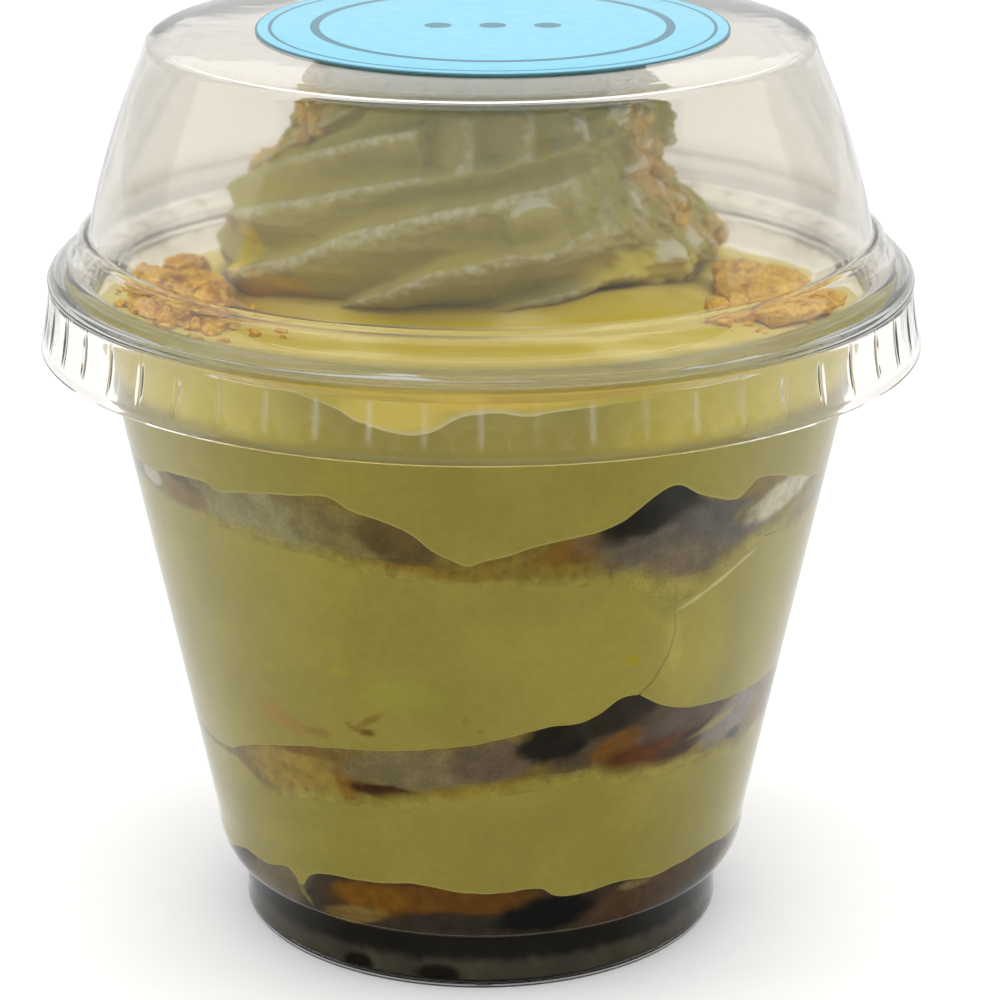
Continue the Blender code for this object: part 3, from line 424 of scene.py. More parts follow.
def smooth(value, low, high):
    """A soft step from 0 at low to 1 at high."""
    share = min(1.0, max(0.0, (value - low) / (high - low)))
    return share * share * (3 - 2 * share)


def ripple(angle, height, size, seed=0.0):
    """Smooth noise on the wall, with bumps of about the given size in metres."""
    return noise.noise(polar(angle, WALL_REACH, height) / size + Vector((seed, 0.0, 0.0)))


def on_curve(knots, angle):
    """A smooth closed curve through (angle, height) pairs."""
    angles = [knot[0] for knot in knots]
    count = len(knots)
    angle = angles[0] + (angle - angles[0]) % 360.0
    start = bisect.bisect_right(angles, angle) - 1

    def knot(i):
        turns, place = divmod(i, count)
        return knots[place][0] + 360.0 * turns, knots[place][1]

    (a0, h0), (a1, h1), (a2, h2), (a3, h3) = (knot(start + i) for i in (-1, 0, 1, 2))
    share = (angle - a1) / (a2 - a1)
    rise_in = (h2 - h0) / (a2 - a0) * (a2 - a1)
    rise_out = (h3 - h1) / (a3 - a1) * (a2 - a1)
    square, cube = share * share, share**3
    return (
        (2 * cube - 3 * square + 1) * h1
        + (cube - 2 * square + share) * rise_in
        + (3 * square - 2 * cube) * h2
        + (cube - square) * rise_out
    )


def along(profile, value):
    """Straight interpolation in a list of pairs."""
    keys = [knot[0] for knot in profile]
    place = max(1, min(bisect.bisect_left(keys, value), len(keys) - 1))
    before, after = profile[place - 1], profile[place]
    share = min(1.0, max(0.0, (value - before[0]) / (after[0] - before[0])))
    return [a + (b - a) * share for a, b in zip(before[1:], after[1:])]


def surface(level, flatness=2.0, wander=0.12, seed=0.0):
    """The height of a layer's boundary over the whole cup, with a small wander at the wall."""
    middle, knots = level

    def height(angle, share=1.0):
        at_wall = on_curve(knots, angle) + wander * ripple(angle, middle * MM, 2.2 * MM, seed)
        return (middle + (at_wall - middle) * share**flatness) * MM

    return height


def level_surface(height):
    return lambda angle, share=1.0: height * MM


def arc(ring, height, across, up, start, end, steps):
    """Profile points along part of an ellipse round (ring, height)."""
    turns = [math.radians(start + (end - start) * i / steps) for i in range(steps + 1)]
    return [(ring + across * math.cos(t), height + up * math.sin(t)) for t in turns]


def outer_radius(height):
    """The cup's outer radius where the wall is straight."""
    return SHOULDER_RADIUS + (height - SHOULDER_TOP) * TAPER


def inner_radius(height):
    """The radius of the cup's inside at a height above its floor."""
    if height >= SHOULDER_TOP:
        return outer_radius(height) - CUP_WALL
    foot = FOOT_RADIUS - CUP_WALL
    shoulder_foot = SHOULDER_TOP - SHOULDER_DEPTH + CUP_WALL
    if height <= shoulder_foot:
        return foot
    drop = (SHOULDER_TOP - height) / (SHOULDER_TOP - shoulder_foot)
    return foot + (SHOULDER_RADIUS - CUP_WALL - foot) * math.sqrt(1.0 - drop * drop)


def painted(base, strokes, reach=34.0):
    """The colour at an angle and height: a base colour under soft strokes with ragged edges.

    A stroke is its angle, height, half length, half width (mm), tilt (degrees), colour and strength.
    """
    laid = []
    for angle, height, long, wide, tilt, code, strength in strokes:
        turn = math.radians(tilt)
        room = math.degrees(1.5 * max(long, wide) / reach)
        way = (math.cos(turn), math.sin(turn))
        laid.append((angle, height, long, wide, *way, Vector(linear(code)), strength, room))

    def tone(angle, height):
        shade = Vector(base)
        drift = None
        for at, level, long, wide, turned_x, turned_y, target, strength, room in laid:
            beyond = (angle - at + 180.0) % 360.0 - 180.0
            if abs(beyond) > room or abs(height - level) > 1.5 * max(long, wide):
                continue
            across, up = math.radians(beyond) * reach, height - level
            along_it = (across * turned_x + up * turned_y) / long
            beside = (up * turned_x - across * turned_y) / wide
            away = math.hypot(along_it, beside)
            if away > 1.5:
                continue
            if drift is None:
                drift = 0.16 * noise.fractal(polar(angle, 33, height) / 1.9, 0.8, 2.1, 3)
            shade = shade.lerp(target, strength * (1 - smooth(away + drift, 0.7, 1.22)))
        return shade

    return tone


def add_piece(name, points, faces, finish, slot, nodes, values=None, sharp=40, tones=None):
    """A mesh that rides on the part in place of some nodes, with values and colours for its points."""
    mesh = bpy.data.meshes.new(name)
    mesh.from_pydata([tuple(point) for point in points], [], faces)
    shape = bmesh.new()
    shape.from_mesh(mesh)
    bmesh.ops.recalc_face_normals(shape, faces=shape.faces)
    shape.to_mesh(mesh)
    shape.free()
    for key, numbers in (values or {}).items():
        mesh.attributes.new(key, "FLOAT", "POINT").data.foreach_set("value", numbers)
    if tones:
        flat = [part for tone in tones for part in (*tone, 1.0)]
        mesh.attributes.new("tone", "FLOAT_COLOR", "POINT").data.foreach_set("color", flat)
    mesh.materials.append(finish)
    mesh.shade_smooth()
    mesh.set_sharp_from_angle(angle=math.radians(sharp))
    made = bpy.data.objects.new(name, mesh)
    bpy.context.scene.collection.objects.link(made)
    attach(made, "root")
    if nodes:
        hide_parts(*nodes)
    return made


def skin(loops, tips):
    """Points and faces of a closed skin over equal loops; its ends close to a tip or, with none, flat."""
    count = len(loops[0])
    points = [point for loop in loops for point in loop]
    faces = []
    for row in range(len(loops) - 1):
        start, after = row * count, (row + 1) * count
        for k in range(count):
            n = (k + 1) % count
            faces.append((start + k, after + k, after + n, start + n))
    last = (len(loops) - 1) * count
    if tips[0] is None:
        faces.append(tuple(range(count)))
    else:
        points.append(tips[0])
        faces += [(len(points) - 1, k, (k + 1) % count) for k in range(count)]
    if tips[1] is None:
        faces.append(tuple(range(last + count - 1, last - 1, -1)))
    else:
        points.append(tips[1])
        faces += [(len(points) - 1, last + (k + 1) % count, last + k) for k in range(count)]
    return points, faces


def turned(profile, segments):
    """A profile turned about the axis, as one loop of points for each of its corners."""
    loops = []
    for radius, height in profile:
        loops.append([polar(-360.0 * k / segments, radius, height) for k in range(segments)])
    return loops


# Shader nodes by their use: the node, its inputs in order, its output and its usual settings
NODES = {
    "PLACE": ("TexCoord", (), "Object", {}),
    "MOVE": ("Mapping", ("Vector", "Scale", "Location"), 0, {}),
    "FROM": ("VectorMath", (0, 1), 0, {"operation": "SUBTRACT"}),
    "LENGTH": ("VectorMath", (0,), "Value", {"operation": "LENGTH"}),
    "X": ("SeparateXYZ", (0,), "X", {}),
    "Y": ("SeparateXYZ", (0,), "Y", {}),
    "Z": ("SeparateXYZ", (0,), "Z", {}),
    "NOISE": ("TexNoise", ("Vector", "Scale", "Detail", "Roughness"), "Fac", {}),
    "VALUE": ("Attribute", (), "Fac", {}),
    "TONE": ("Attribute", (), "Color", {"attribute_name": "tone"}),
    "STEP": ("MapRange", ("Value", "From Min", "From Max"), "Result", {"interpolation_type": "SMOOTHSTEP"}),
    "RISE": ("MapRange", ("Value", "From Min", "From Max"), "Result", {"interpolation_type": "LINEAR"}),
    "MIX": ("Mix", (0, 6, 7), 2, {"data_type": "RGBA", "blend_type": "MIX"}),
    "SHADE": ("Mix", (0, 6, 7), 2, {"data_type": "RGBA", "blend_type": "MULTIPLY"}),
    "BUMP": ("Bump", ("Height", "Strength", "Distance"), 0, {}),
    "SHADOW": ("LightPath", (), "Is Shadow Ray", {}),
    "SOFT": ("LightPath", (), "Is Diffuse Ray", {}),
    "PRINCIPLED": ("BsdfPrincipled", (), 0, {}),
    "CLEAR": ("BsdfTransparent", ("Color",), 0, {}),
    "GLOW": ("Emission", ("Color", "Strength"), 0, {}),
    "EITHER": ("MixShader", (0, 1, 2), 0, {}),
}


def add_node(tree, name, *given, **settings):
    """Adds a node from the table, or a Math node of that operation, and gives back its output.

    What is given is linked to or set on the table's inputs in order, or by name if it is a dictionary.
    """
    kind, inputs, output, usual = NODES.get(name, ("Math", (0, 1), 0, {"operation": name}))
    made = tree.nodes.new("ShaderNode" + kind)
    for key, value in {**usual, **settings}.items():
        setattr(made, key, value)
    if given and isinstance(given[0], dict):
        inputs, given = given[0].keys(), given[0].values()
    for key, value in zip(inputs, given):
        socket = made.inputs[key]
        if isinstance(value, bpy.types.NodeSocket):
            tree.links.new(value, socket)
        else:
            socket.default_value = (*value[:3], 1.0) if socket.type == "RGBA" else value
    return made.outputs[output]


def new_material(name, finish):
    """A material whose surface is the shader that finish, a function of the tree, gives back."""
    made = bpy.data.materials.new(name)
    made.use_nodes = True
    tree = made.node_tree
    for old in list(tree.nodes):
        if old.type != "OUTPUT_MATERIAL":
            tree.nodes.remove(old)
    tree.links.new(finish(tree), tree.nodes["Material Output"].inputs["Surface"])
    return made


def noise_of(tree, size, detail=3.0, rough=0.5, stretch=(1, 1, 1), offset=0.0):
    """A noise with features of about the given size in metres, in the part's own space."""
    moved = add_node(tree, "MOVE", add_node(tree, "PLACE"), stretch, (offset, 0, 0))
    return add_node(tree, "NOISE", moved, 1.0 / size, detail, rough)


def less(tree, value):
    """One less the value."""
    return add_node(tree, "SUBTRACT", 1.0, value)


def grained(tree, base, size, depth, offset=1.0):
    """A colour with fine lighter and darker grains."""
    grain = add_node(tree, "STEP", noise_of(tree, size, detail=2.0, offset=offset), 0.3, 0.7)
    bright = add_node(tree, "ADD", 1.0 - depth, add_node(tree, "MULTIPLY", grain, 2 * depth))
    return add_node(tree, "SHADE", 1.0, base, bright)


def over_base(tree, mask, strength, base, top):
    """A colour laid over another where a mask is high, up to the given strength."""
    return add_node(tree, "MIX", add_node(tree, "MULTIPLY", mask, strength), base, top)


def clear_pet(name, tint, ledge=None):
    """PET sheet, thermoformed: crystal clear and glossy, faintly wavy from the drawing of the sheet.

    Light on its way to the food passes straight through, as it nearly does through a thin sheet. A lid
    has a tint for its folded ledge too, which is greyer: painted shade for the several faces that lie
    behind one another. Its dome is a little milky, as breath and fine scuffs leave it, and its slits
    and far folds are frosted.
    """

    def finish(tree):
        waves = noise_of(tree, 9 * MM, detail=2.0)
        clearness, rough, base = 1.0, PET_ROUGHNESS, tint
        if ledge:
            height = add_node(tree, "Z", add_node(tree, "PLACE"))
            above = add_node(tree, "STEP", height, DOME_LOW, DOME_LOW + 0.5 * MM)
            beyond = add_node(tree, "STEP", height, DOME_HIGH, DOME_HIGH + 0.5 * MM)
            within = add_node(tree, "MULTIPLY", above, less(tree, beyond))
            rising = add_node(tree, "STEP", height, LEDGE_LOW, LEDGE_LOW + 0.8 * MM)
            falling = add_node(tree, "STEP", height, LEDGE_HIGH - 0.8 * MM, LEDGE_HIGH)
            fold = add_node(tree, "MULTIPLY", rising, less(tree, falling))
            dome_haze = add_node(tree, "MULTIPLY", within, LID_HAZE)
            milky = add_node(tree, "ADD", dome_haze, add_node(tree, "MULTIPLY", fold, LID_HAZE))
            scuff = add_node(tree, "VALUE", attribute_name="scuff")
            slit = add_node(tree, "VALUE", attribute_name="slit")
            scuffed = add_node(tree, "MULTIPLY", scuff, 0.08)
            frost = add_node(tree, "MAXIMUM", add_node(tree, "MULTIPLY", slit, 0.14), scuffed)
            clearness = less(tree, add_node(tree, "MAXIMUM", milky, frost))
            blur = add_node(tree, "MULTIPLY", within, DOME_ROUGHNESS - PET_ROUGHNESS)
            rough = add_node(tree, "ADD", PET_ROUGHNESS, blur)
            rough = add_node(tree, "MAXIMUM", rough, add_node(tree, "MULTIPLY", scuff, 0.28))
            # The ledge's greyer tint is painted shade
            base = over_base(tree, fold, less(tree, scuff), tint, ledge)
        sheet = add_node(tree, "PRINCIPLED", {
            "Base Color": base,
            "Roughness": rough,
            "IOR": 1.57,
            "Transmission Weight": clearness,
            "Normal": add_node(tree, "BUMP", waves, 0.12, 0.4 * MM),
        })
        lit = add_node(tree, "MAXIMUM", add_node(tree, "SHADOW"), add_node(tree, "SOFT"))
        return add_node(tree, "EITHER", lit, sheet, add_node(tree, "CLEAR", (0.93, 0.93, 0.92)))

    return new_material(name, finish)


def moist_food(name, tint, relief=None, depth=0.1, radius=(2.0, 1.6, 0.6), **more):
    """Soft moist food. Tint is a function of the tree, and more holds the shader's own values.

    Relief is the size of its bumps, the noise's detail and how rough it is; sizes are in millimetres.
    Food that is pressed on the wall has hardly any gloss of its own, as no air lies between.
    """

    def finish(tree):
        inputs = {"Base Color": tint(tree), "IOR": 1.42, "Specular IOR Level": 0.1, "Subsurface Scale": 1.0}
        inputs["Subsurface Radius"] = [r * MM for r in radius]
        inputs.update({key.replace("_", " "): value for key, value in more.items()})
        if relief:
            bumps = noise_of(tree, relief[0] * MM, *relief[1:])
            inputs["Normal"] = add_node(tree, "BUMP", bumps, 1.0, depth * MM)
        return add_node(tree, "PRINCIPLED", inputs)

    return new_material(name, finish)


def pudding_finish(tints):
    """Cooked vanilla pudding, spooned in: smooth and dense, faintly mottled, with a painted highlight along
    its thin lower rim.
    """

    def tint(tree):
        base = grained(tree, add_node(tree, "TONE"), 13 * MM, 0.07)
        base = grained(tree, base, 1.1 * MM, 0.035, 3.0)
        # The pale lower rim is a painted highlight along the layer's edge
        inset = add_node(tree, "STEP", add_node(tree, "VALUE", attribute_name="inset"), 0.05, 0.45)
        return over_base(tree, less(tree, inset), 0.6, base, tints.pudding_rim_highlight)

    return moist_food("vanilla pudding, set", tint, Roughness=0.4, Subsurface_Weight=0.1)


def banana_finish():
    """Sliced banana pressed on the wall: smooth flesh, browned in soft patches, with beads of moisture."""

    def tint(tree):
        base = grained(tree, add_node(tree, "TONE"), 0.34 * MM, 0.1)
        return grained(tree, base, 2.4 * MM, 0.16, 6.0)

    return moist_food("banana slice, moist", tint, (0.45, 2.0), 0.02, Roughness=0.42)


def wafer_finish():
    """Vanilla wafer soaked at the wall: open baked crumb, darker in its pores."""

    def tint(tree):
        base = grained(tree, add_node(tree, "TONE"), 1.5 * MM, 0.14, 5.0)
        pores = noise_of(tree, 0.7 * MM, detail=4.0, rough=0.6, offset=2.0)
        pores = add_node(tree, "STEP", pores, 0.54, 0.74)
        return over_base(tree, pores, 0.35, base, (0.05, 0.028, 0.008))

    return moist_food("vanilla wafer, soaked", tint, (0.6, 3.0), 0.05, Roughness=0.6)


def mash_finish():
    """Banana and wafer mashed between the slices: soft golden brown, smeared along the wall."""

    def tint(tree):
        return grained(tree, add_node(tree, "TONE"), 0.9 * MM, 0.12)

    return moist_food("banana and wafer mash", tint, Roughness=0.5)


def custard_finish(tints):
    """Set custard, smoothed with a spoon: glossy golden with pale streaks round the cup."""

    def tint(tree):
        streaks = noise_of(tree, 11 * MM, detail=3.0, stretch=(0.7, 1.2, 3.0))
        streaks = add_node(tree, "STEP", streaks, 0.45, 0.7)
        share = add_node(tree, "MULTIPLY", streaks, add_node(tree, "VALUE", attribute_name="top"))
        base = over_base(tree, share, 0.6, add_node(tree, "TONE"), tints.custard_pale)
        # A painted highlight along the thin lower edge
        inset = add_node(tree, "STEP", add_node(tree, "VALUE", attribute_name="inset"), 0.15, 1.1)
        return over_base(tree, less(tree, inset), 0.75, base, tints.custard_edge_highlight)

    gloss = {"Roughness": 0.32, "Specular_IOR_Level": UNDER_DOME_GLOSS}
    return moist_food("vanilla custard, set", tint, Subsurface_Weight=0.1, **gloss)


def cream_finish(tints):
    """Whipped cream, piped: matt, with a painted highlight on its torn crests and curds; painted shade low
    in the folds, where thin cream also lets yellow through.
    """

    def tint(tree):
        grain = noise_of(tree, 0.9 * MM, detail=5.0, rough=0.6)
        uneven = add_node(tree, "MULTIPLY", add_node(tree, "SUBTRACT", grain, 0.5), 0.5)
        lean = add_node(tree, "ADD", add_node(tree, "VALUE", attribute_name="crest"), uneven)
        base = grained(tree, add_node(tree, "TONE"), 2.6 * MM, 0.06)
        # Painted highlight where the crest value is high
        base = over_base(tree, add_node(tree, "STEP", lean, 0.86, 1.12), 0.55, base, tints.cream_crest_highlight)
        # Painted shade low in the folds
        low = less(tree, add_node(tree, "STEP", lean, -0.1, 0.6))
        return over_base(tree, low, 0.5, base, tints.cream_fold_shade)

    gloss = {"Roughness": 0.65, "Specular_IOR_Level": UNDER_DOME_GLOSS, "Subsurface_Weight": 0.06}
    return moist_food("cream, whipped and piped", tint, (0.8, 5.0, 0.65), 0.12, (1.2, 1.0, 0.6), **gloss)


def crumb_finish(tints):
    """Baked wafer, broken: dry open crumb with sugar on it, browner on its crust."""

    def tint(tree):
        patches = noise_of(tree, 1.7 * MM, detail=5.0, rough=0.6)
        patches = add_node(tree, "STEP", patches, 0.45, 0.72)
        base = add_node(tree, "MIX", patches, tints.wafer_dry, tints.wafer_crust)
        base = grained(tree, base, 0.45 * MM, 0.18, 4.0)
        sugar = add_node(tree, "STEP", noise_of(tree, 0.35 * MM, detail=2.0, offset=8.0), 0.62, 0.75)
        return over_base(tree, sugar, 0.35, base, tints.custard_pale)

    gloss = {"Roughness": 0.8, "Specular_IOR_Level": UNDER_DOME_GLOSS}
    return moist_food("vanilla wafer, baked and broken", tint, (0.5, 4.0, 0.7), 0.12, **gloss)


def cream_soaked(tints):
    """Wafer crumbs soaked by the cream: pale tan with browner spots, soft at their edges."""

    def tint(tree):
        patches = add_node(tree, "STEP", noise_of(tree, 1.6 * MM, detail=3.0, offset=9.0), 0.42, 0.72)
        return add_node(tree, "MIX", patches, tints.cream_stain, tints.wafer_dry)

    soft = {"Roughness": 0.7, "Subsurface_Weight": 0.2}
    return moist_food("vanilla wafer, soaked in cream", tint, (0.6, 4.0, 0.7), 0.12, **soft)


def dark_foot_finish():
    """A near-black fill in the foot, a little paler low down."""

    def tint(tree):
        return grained(tree, add_node(tree, "TONE"), 5 * MM, 0.2)

    return moist_food("dark banana syrup", tint, Roughness=0.25)


def sticker_finish(tints, centre, radius):
    """Coated paper, printed: flat colour with a thin darker edge, two plain rings and three plain dots."""

    def far(tree, across, up):
        squares = [add_node(tree, "POWER", way, 2) for way in (across, up)]
        return add_node(tree, "SQRT", add_node(tree, "ADD", *squares))

    def finish(tree):
        moved = add_node(tree, "FROM", add_node(tree, "PLACE"), (centre.x, centre.y, 0))
        across, up = add_node(tree, "X", moved), add_node(tree, "Y", moved)
        away = far(tree, across, up)
        ink = add_node(tree, "GREATER_THAN", away, radius - 0.25 * MM)
        for ring, half_width in ((radius - 1.6 * MM, 0.2 * MM), (radius - 6.5 * MM, 0.5 * MM)):
            beside = add_node(tree, "ABSOLUTE", add_node(tree, "SUBTRACT", away, ring))
            ink = add_node(tree, "MAXIMUM", ink, add_node(tree, "LESS_THAN", beside, half_width))
        for x in (-6.0, 0.0, 6.0):
            from_dot = far(tree, add_node(tree, "SUBTRACT", across, x * MM), up)
            ink = add_node(tree, "MAXIMUM", ink, add_node(tree, "LESS_THAN", from_dot, 1.5 * MM))
        fibres = noise_of(tree, 1.5 * MM, detail=3.0)
        paper = over_base(tree, fibres, 0.15, tints.sticker, (0.9, 0.95, 0.97))
        shown = over_base(tree, ink, 0.85, paper, tints.ink)
        gloss = {"Roughness": 0.42, "Coat Weight": 0.2, "Coat Roughness": 0.25}
        return add_node(tree, "PRINCIPLED", {"Base Color": shown, **gloss})

    return new_material("coated paper, printed", finish)


def stage_piece(context, name, points, faces, finish):
    mesh = bpy.data.meshes.new(name)
    mesh.from_pydata(points, [], faces)
    mesh.materials.append(finish)
    made = bpy.data.objects.new(name, mesh)
    context.scene.collection.objects.link(made)
    return made


def build_flag(context, surround):
    """A graded screen that only reflections see: dark in front, as pale as the room beside and above."""

    def card(tree):
        place = add_node(tree, "PLACE")
        toward = add_node(tree, "MULTIPLY", add_node(tree, "Y", place), -1.0)
        turn = add_node(tree, "ABSOLUTE", add_node(tree, "ARCTAN2", add_node(tree, "X", place), toward))
        height = add_node(tree, "Z", place)
        beside = add_node(tree, "RISE", turn, math.radians(42), math.radians(100))
        pale = add_node(tree, "MAXIMUM", beside, add_node(tree, "STEP", height, 0.5, 1.5))
        behind = add_node(tree, "RISE", turn, math.radians(125), math.radians(165))
        wall = add_node(tree, "ADD", surround, add_node(tree, "MULTIPLY", behind, 0.5))
        upright = add_node(tree, "STEP", height, 0.0, 0.02)
        change = add_node(tree, "MULTIPLY", upright, add_node(tree, "SUBTRACT", wall, FLOOR_GLOW))
        full = add_node(tree, "MULTIPLY", pale, add_node(tree, "ADD", FLOOR_GLOW, change))
        return add_node(tree, "GLOW", WHITE, add_node(tree, "ADD", 0.04, full))

    finish = new_material("graded card", card)
    finish.cycles.emission_sampling = "NONE"
    count = 96
    path = ((28.2 * MM, 0.2 * MM), (2.3, 0.2 * MM), (2.3, 0.02), (2.3, 1.7))
    rings = [polar(360.0 * k / count, radius, height) for radius, height in path for k in range(count)]
    faces = []
    for row in range(len(path) - 1):
        low, high = row * count, (row + 1) * count
        faces += [(low + k, high + k, high + (k + 1) % count, low + (k + 1) % count) for k in range(count)]
    flag = stage_piece(context, "flag", rings, faces, finish)
    flag.visible_camera = False
    flag.visible_diffuse = False
    flag.visible_transmission = False
    flag.visible_shadow = False


def paper_floor(tree):
    """Pale paper, lit from below at its edges so that it stays as pale as the room."""
    paper = add_node(tree, "MIX", noise_of(tree, 4 * MM, detail=2.0), (0.89, 0.89, 0.90), (0.91, 0.91, 0.92))
    away = add_node(tree, "LENGTH", add_node(tree, "PLACE"))
    glow = add_node(tree, "MULTIPLY", add_node(tree, "STEP", away, 0.5, 2.0), 0.65)
    inputs = {"Base Color": paper, "Roughness": 0.9, "Emission Color": WHITE, "Emission Strength": glow}
    return add_node(tree, "PRINCIPLED", inputs)


def build_stage(context):
    scene, light_sizes = context.scene, context.scene.pudding_stage
    scene.view_settings.view_transform = "Standard"
    scene.cycles.max_bounces = 16
    scene.cycles.transmission_bounces = 16
    scene.cycles.transparent_max_bounces = 24
    scene.cycles.caustics_reflective = False
    scene.cycles.caustics_refractive = False

    reach = 6.0
    corners = [(-reach, -reach, 0), (reach, -reach, 0), (reach, reach, 0), (-reach, reach, 0)]
    finish = new_material("pale paper sweep, lit from below at its edges", paper_floor)
    finish.cycles.emission_sampling = "NONE"
    stage_piece(context, "floor", corners, [(0, 1, 2, 3)], finish)
    build_flag(context, light_sizes.surround)

    world = bpy.data.worlds.new("studio")
    world.use_nodes = True
    tree = world.node_tree
    sky = tree.nodes["Background"]
    sky.inputs["Color"].default_value = WHITE
    drop = add_node(tree, "MULTIPLY", add_node(tree, "SOFT"), light_sizes.backdrop - light_sizes.surround)
    tree.links.new(add_node(tree, "SUBTRACT", light_sizes.backdrop, drop), sky.inputs["Strength"])
    world.cycles.sampling_method = "NONE"
    scene.world = world
    for name, place, size, power, gloss in (
        ("box_left", (-0.8, 0.0, 0.5), (0.6, 0.8), light_sizes.sides, False),
        ("box_right", (0.8, 0.0, 0.5), (0.6, 0.8), light_sizes.sides, False),
        ("box_back", (0.0, 1.0, 0.8), (1.6, 0.6), light_sizes.back, False),
        ("box_top", (0.0, -0.2, 1.5), (2.4, 2.4), light_sizes.top, False),
        ("strip_front", (0.0, -0.7, 1.3), (3.0, 0.06), light_sizes.strip, True),
    ):
        light = bpy.data.lights.new(name, "AREA")
        light.shape = "RECTANGLE"
        light.size, light.size_y = size
        light.energy = power
        lamp = bpy.data.objects.new(name, light)
        lamp.location = place
        lamp.rotation_euler = (Vector((0, 0, 0.05)) - Vector(place)).to_track_quat("-Z", "Y").to_euler()
        lamp.visible_glossy = gloss
        scene.collection.objects.link(lamp)

    lens = bpy.data.cameras.new("camera")
    lens.lens = CAMERA_LENS
    lens.sensor_width = 36
    lens.shift_x = CAMERA_SHIFT
    camera = bpy.data.objects.new("camera", lens)
    camera.location = CAMERA_PLACE
    camera.rotation_euler = (math.radians(90 - CAMERA_DIP), 0, 0)
    scene.collection.objects.link(camera)
    scene.camera = camera


def build_cup(context):
    """The cup, thin walled, turned from its profile: inside from the floor up, rolled rim, outside down."""
    sizes, tints = context.scene.pudding_sizes, context.scene.pudding_colours
    foot_inside = FOOT_RADIUS - CUP_WALL
    floor = FOOT_RECESS + CUP_WALL
    inside = [(0.0, floor), (foot_inside * 0.5, floor)]
    inside += arc(foot_inside - 0.3 * MM, floor + 0.3 * MM, 0.3 * MM, 0.3 * MM, -90, 0, 4)
    across, up = SHOULDER_RADIUS - CUP_WALL - foot_inside, CUP_WALL - SHOULDER_DEPTH
    inside += arc(foot_inside, SHOULDER_TOP, across, up, 90, 0, 14)
    inside += [(inner_radius(h * MM), h * MM) for h in (14, 20, 30, 40, 50, 60, 70, 73.5)]
    inside.append((inner_radius(BEAD_HEIGHT), BEAD_HEIGHT))
    bead = 1.6 * MM
    rim = arc(sizes.rim_radius - bead, sizes.cup_height - bead, bead, bead, 150, -110, 18)
    outside = [(outer_radius(h * MM), h * MM) for h in (73.2, 66, 55, 44, 33, 22, 14)]
    outside += arc(CREASE_RADIUS, SHOULDER_TOP, SHOULDER_RADIUS - CREASE_RADIUS, -SHOULDER_DEPTH, 0, 90, 12)
    outside += [
        (FOOT_RADIUS + 0.1 * MM, FOOT_TOP + 0.05 * MM),
        (FOOT_RADIUS + 0.12 * MM, FOOT_TOP - 0.5 * MM),
        (FOOT_RADIUS, 0.6 * MM),
    ]
    outside += arc(FOOT_RADIUS - 0.5 * MM, 0.5 * MM, 0.5 * MM, 0.5 * MM, 0, -90, 6)
    outside += arc(FOOT_RADIUS - 2.0 * MM, 0.3 * MM, 0.3 * MM, 0.3 * MM, -90, -180, 4)
    outside += [(FOOT_RADIUS - 2.9 * MM, FOOT_RECESS), (FOOT_RADIUS * 0.5, FOOT_RECESS), (0.0, FOOT_RECESS)]
    profile = inside + rim + outside
    loops = turned(profile[1:-1], 256)
    points, faces = skin(loops, (Vector((0, 0, floor)), Vector((0, 0, FOOT_RECESS))))
    finish = clear_pet("PET cup, thermoformed", tints.pet)
    add_piece("clear_cup", points, faces, finish, "clear_plastic", ["cup"])


def dome_radius(height, skirt_radius):
    """The dome's outer radius: leaning like the cup at its foot, and rounder higher up."""
    rise = height - 81.04 * MM
    return skirt_radius - 5.77 * MM - TAPER * rise - 6.6 * rise * rise


